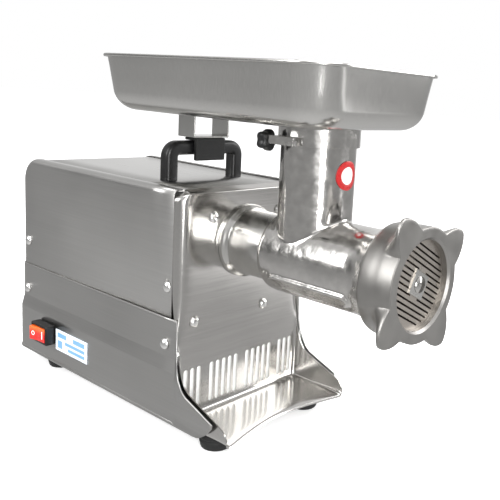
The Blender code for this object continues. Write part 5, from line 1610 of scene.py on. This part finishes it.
# ---------------------------------------------------------------- studio
@dataclass
class Studio:
    """Camera, pale floor and soft lights.

    A card is a grey patch of the surround: its direction, where its fade ends inside and outside in
    degrees, and its shade. The band is a pale stripe that bright sheet reflects. A light is its name,
    place, size and power.
    """

    eye: tuple = (-0.4649, -0.5372, 0.3308)
    azimuth: float = 53.29
    fall: float = 9.48
    roll: float = 4.08
    lens: float = 49.95
    shift: tuple = (-0.227, -0.078)
    band_across: tuple = (0.3458, 0.0307, 0.9378)
    band_along: tuple = (0.63, -0.74, -0.21)
    band_half: float = 0.045
    band_fade: tuple = (0.955, 0.985)
    band_shade: float = 2.0
    surround: tuple = ((0.0, 0.80), (0.30, 0.56), (0.40, 0.44), (0.47, 0.40), (0.52, 0.34), (0.62, 0.50),
                       (0.80, 0.75), (1.0, 0.9))
    cards: tuple = (((0.79, 0.59, 0.20), 12, 38, 0.95), ((-0.74, -0.66, 0.10), 7, 17, 1.7),
                    ((-0.62, 0.79, 0.16), 4, 16, 0.18))
    lights: tuple = (("strip", (-0.95, -1.45, 0.55), (0.30, 1.3), 22.0),
                     ("overhead", (0.1, -0.2, 1.9), (1.6, 1.6), 45.0),
                     ("left", (-1.8, 0.7, 1.1), (1.2, 1.2), 22.0),
                     ("right", (1.6, -1.1, 0.9), (0.9, 1.2), 18.0))
    floor_half: float = 12.0
    floor_glow: float = 0.45

    def camera(self) -> None:
        """Stand the camera at the viewing angle."""
        lens = bpy.data.cameras.new("camera")
        lens.lens = self.lens
        lens.shift_x, lens.shift_y = self.shift
        lens.clip_start, lens.clip_end = 0.02, 50.0
        a, f, r = (math.radians(v) for v in (self.azimuth, self.fall, self.roll))
        ahead = Vector((math.sin(a) * math.cos(f), math.cos(a) * math.cos(f), -math.sin(f)))
        right = ahead.cross(Vector((0, 0, 1))).normalized()
        up = right.cross(ahead)
        across = right * math.cos(r) + up * math.sin(r)
        above = up * math.cos(r) - right * math.sin(r)
        turn = Matrix((across, above, -ahead)).transposed().to_4x4()
        camera = new_object("camera", lens)
        camera.matrix_world = Matrix.Translation(self.eye) @ turn
        bpy.context.scene.camera = camera

    def light(self, name: str, at: Sequence[float], size: Sequence[float], power: float,
              aim: Sequence[float] = (0.0, 0.0, 0.15)) -> None:
        """A rectangular soft light that looks at a point.

        Args:
            name: The light's name.
            at: Its place.
            size: Its width and height.
            power: Its power in watts.
            aim: The point that it looks at.
        """
        data = bpy.data.lights.new(name, "AREA")
        data.shape = "RECTANGLE"
        data.size, data.size_y = size
        data.energy = power
        lamp = new_object(name, data)
        lamp.location = at
        lamp.rotation_euler = (Vector(aim) - Vector(at)).to_track_quat("-Z", "Y").to_euler()

    def world(self) -> None:
        """A white surround for the eye, and a grey one with a pale horizon for light and reflections."""
        world = bpy.data.worlds.new("studio")
        bpy.context.scene.world = world
        world.use_nodes = True
        tree = world.node_tree
        tree.nodes.clear()
        place = add_node(tree, "ShaderNodeTexCoord").outputs["Generated"]
        axes = add_node(tree, "ShaderNodeSeparateXYZ", {"Vector": place})
        rise = add_node(tree, "ShaderNodeMapRange", {
            "Value": axes.outputs["Z"], "From Min": -1.0, "From Max": 1.0})
        tone = ramp(tree, rise.outputs["Result"], self.surround)
        for direction, inner, outer, shade in self.cards:
            facing = add_node(tree, "ShaderNodeVectorMath", {0: place, 1: Vector(direction).normalized()},
                              operation="DOT_PRODUCT")
            soft = add_node(tree, "ShaderNodeMapRange", {
                "Value": facing.outputs["Value"], "From Min": math.cos(math.radians(outer)),
                "From Max": math.cos(math.radians(inner))}, interpolation_type="SMOOTHSTEP")
            card = (shade, shade, shade, 1.0)
            tone = add_node(tree, "ShaderNodeMix", {0: soft.outputs["Result"], 6: tone, 7: card},
                            data_type="RGBA").outputs[2]
        across = add_node(tree, "ShaderNodeVectorMath", {0: place, 1: Vector(self.band_across)},
                          operation="DOT_PRODUCT")
        off = add_node(tree, "ShaderNodeMath", {0: across.outputs["Value"]}, operation="ABSOLUTE")
        stripe = add_node(tree, "ShaderNodeMapRange", {
            "Value": off.outputs[0], "From Min": self.band_half, "From Max": 0.25 * self.band_half},
            interpolation_type="SMOOTHSTEP")
        along = add_node(tree, "ShaderNodeVectorMath", {0: place, 1: Vector(self.band_along).normalized()},
                         operation="DOT_PRODUCT")
        reach = add_node(tree, "ShaderNodeMapRange", {
            "Value": along.outputs["Value"], "From Min": self.band_fade[0], "From Max": self.band_fade[1]},
            interpolation_type="SMOOTHSTEP")
        lit = add_node(tree, "ShaderNodeMath", {0: stripe.outputs["Result"], 1: reach.outputs["Result"]},
                       operation="MULTIPLY")
        band = (self.band_shade, self.band_shade, self.band_shade, 1.0)
        tone = add_node(tree, "ShaderNodeMix", {0: lit.outputs[0], 6: tone, 7: band},
                        data_type="RGBA").outputs[2]
        grey = add_node(tree, "ShaderNodeBackground", {"Color": tone, "Strength": 1.0})
        white = add_node(tree, "ShaderNodeBackground", {"Color": (1.0, 1.0, 1.0, 1.0), "Strength": 1.0})
        seen = add_node(tree, "ShaderNodeLightPath").outputs["Is Camera Ray"]
        both = add_node(tree, "ShaderNodeMixShader", {0: seen, 1: grey.outputs[0], 2: white.outputs[0]})
        add_node(tree, "ShaderNodeOutputWorld", {"Surface": both.outputs[0]})

    def floor(self) -> None:
        """A plain white floor that mirrors don't see."""
        size = self.floor_half
        mesh = bpy.data.meshes.new("floor")
        mesh.from_pydata([(-size, -size, 0), (size, -size, 0), (size, size, 0), (-size, size, 0)], [],
                         [(0, 1, 2, 3)])
        floor = new_object("floor", mesh)
        paper = bpy.data.materials.new("white_paper_sweep")
        paper.use_nodes = True
        shader = paper.node_tree.nodes["Principled BSDF"]
        shader.inputs["Base Color"].default_value = linear("#fbfbfb")
        shader.inputs["Roughness"].default_value = 1.0
        shader.inputs["Specular IOR Level"].default_value = 0.0
        shader.inputs["Emission Color"].default_value = linear("#ffffff")
        shader.inputs["Emission Strength"].default_value = self.floor_glow
        mesh.materials.append(paper)
        floor.visible_glossy = False

    def build(self) -> None:
        """Set the scene up."""
        self.camera()
        self.world()
        self.floor()
        for name, at, size, power in self.lights:
            self.light(name, at, size, power)
        bpy.context.scene.view_settings.view_transform = "Standard"


def main() -> None:
    """Build every sub-assembly in order."""
    logging.basicConfig(level=logging.INFO, format="%(message)s")
    cover = FrontCover()
    toe_y = np.array([-55, -50, -45, -40, -36, -30, -24, -18, -12, -7, -3]) * MM
    Housing().build(cover.cheek_height(toe_y), toe_y)
    cover.build()
    PowerSwitch().build()
    CarryHandle().build()
    GrindingHead().build()
    FeedTray().build()
    StarKnob("tray_knob", "tray_clamp", (-41.5 * MM, -63 * MM, 271 * MM), Axis.Y, (4 * MM, 34 * MM)).build()
    StarKnob("head_lock_knob", "head_lock", (58 * MM, -24 * MM, AXIS_Z), Axis.X,
             (-4 * MM, -25.5 * MM)).build()
    dress_drive()
    Studio().build()


if __name__ == "__main__":
    main()
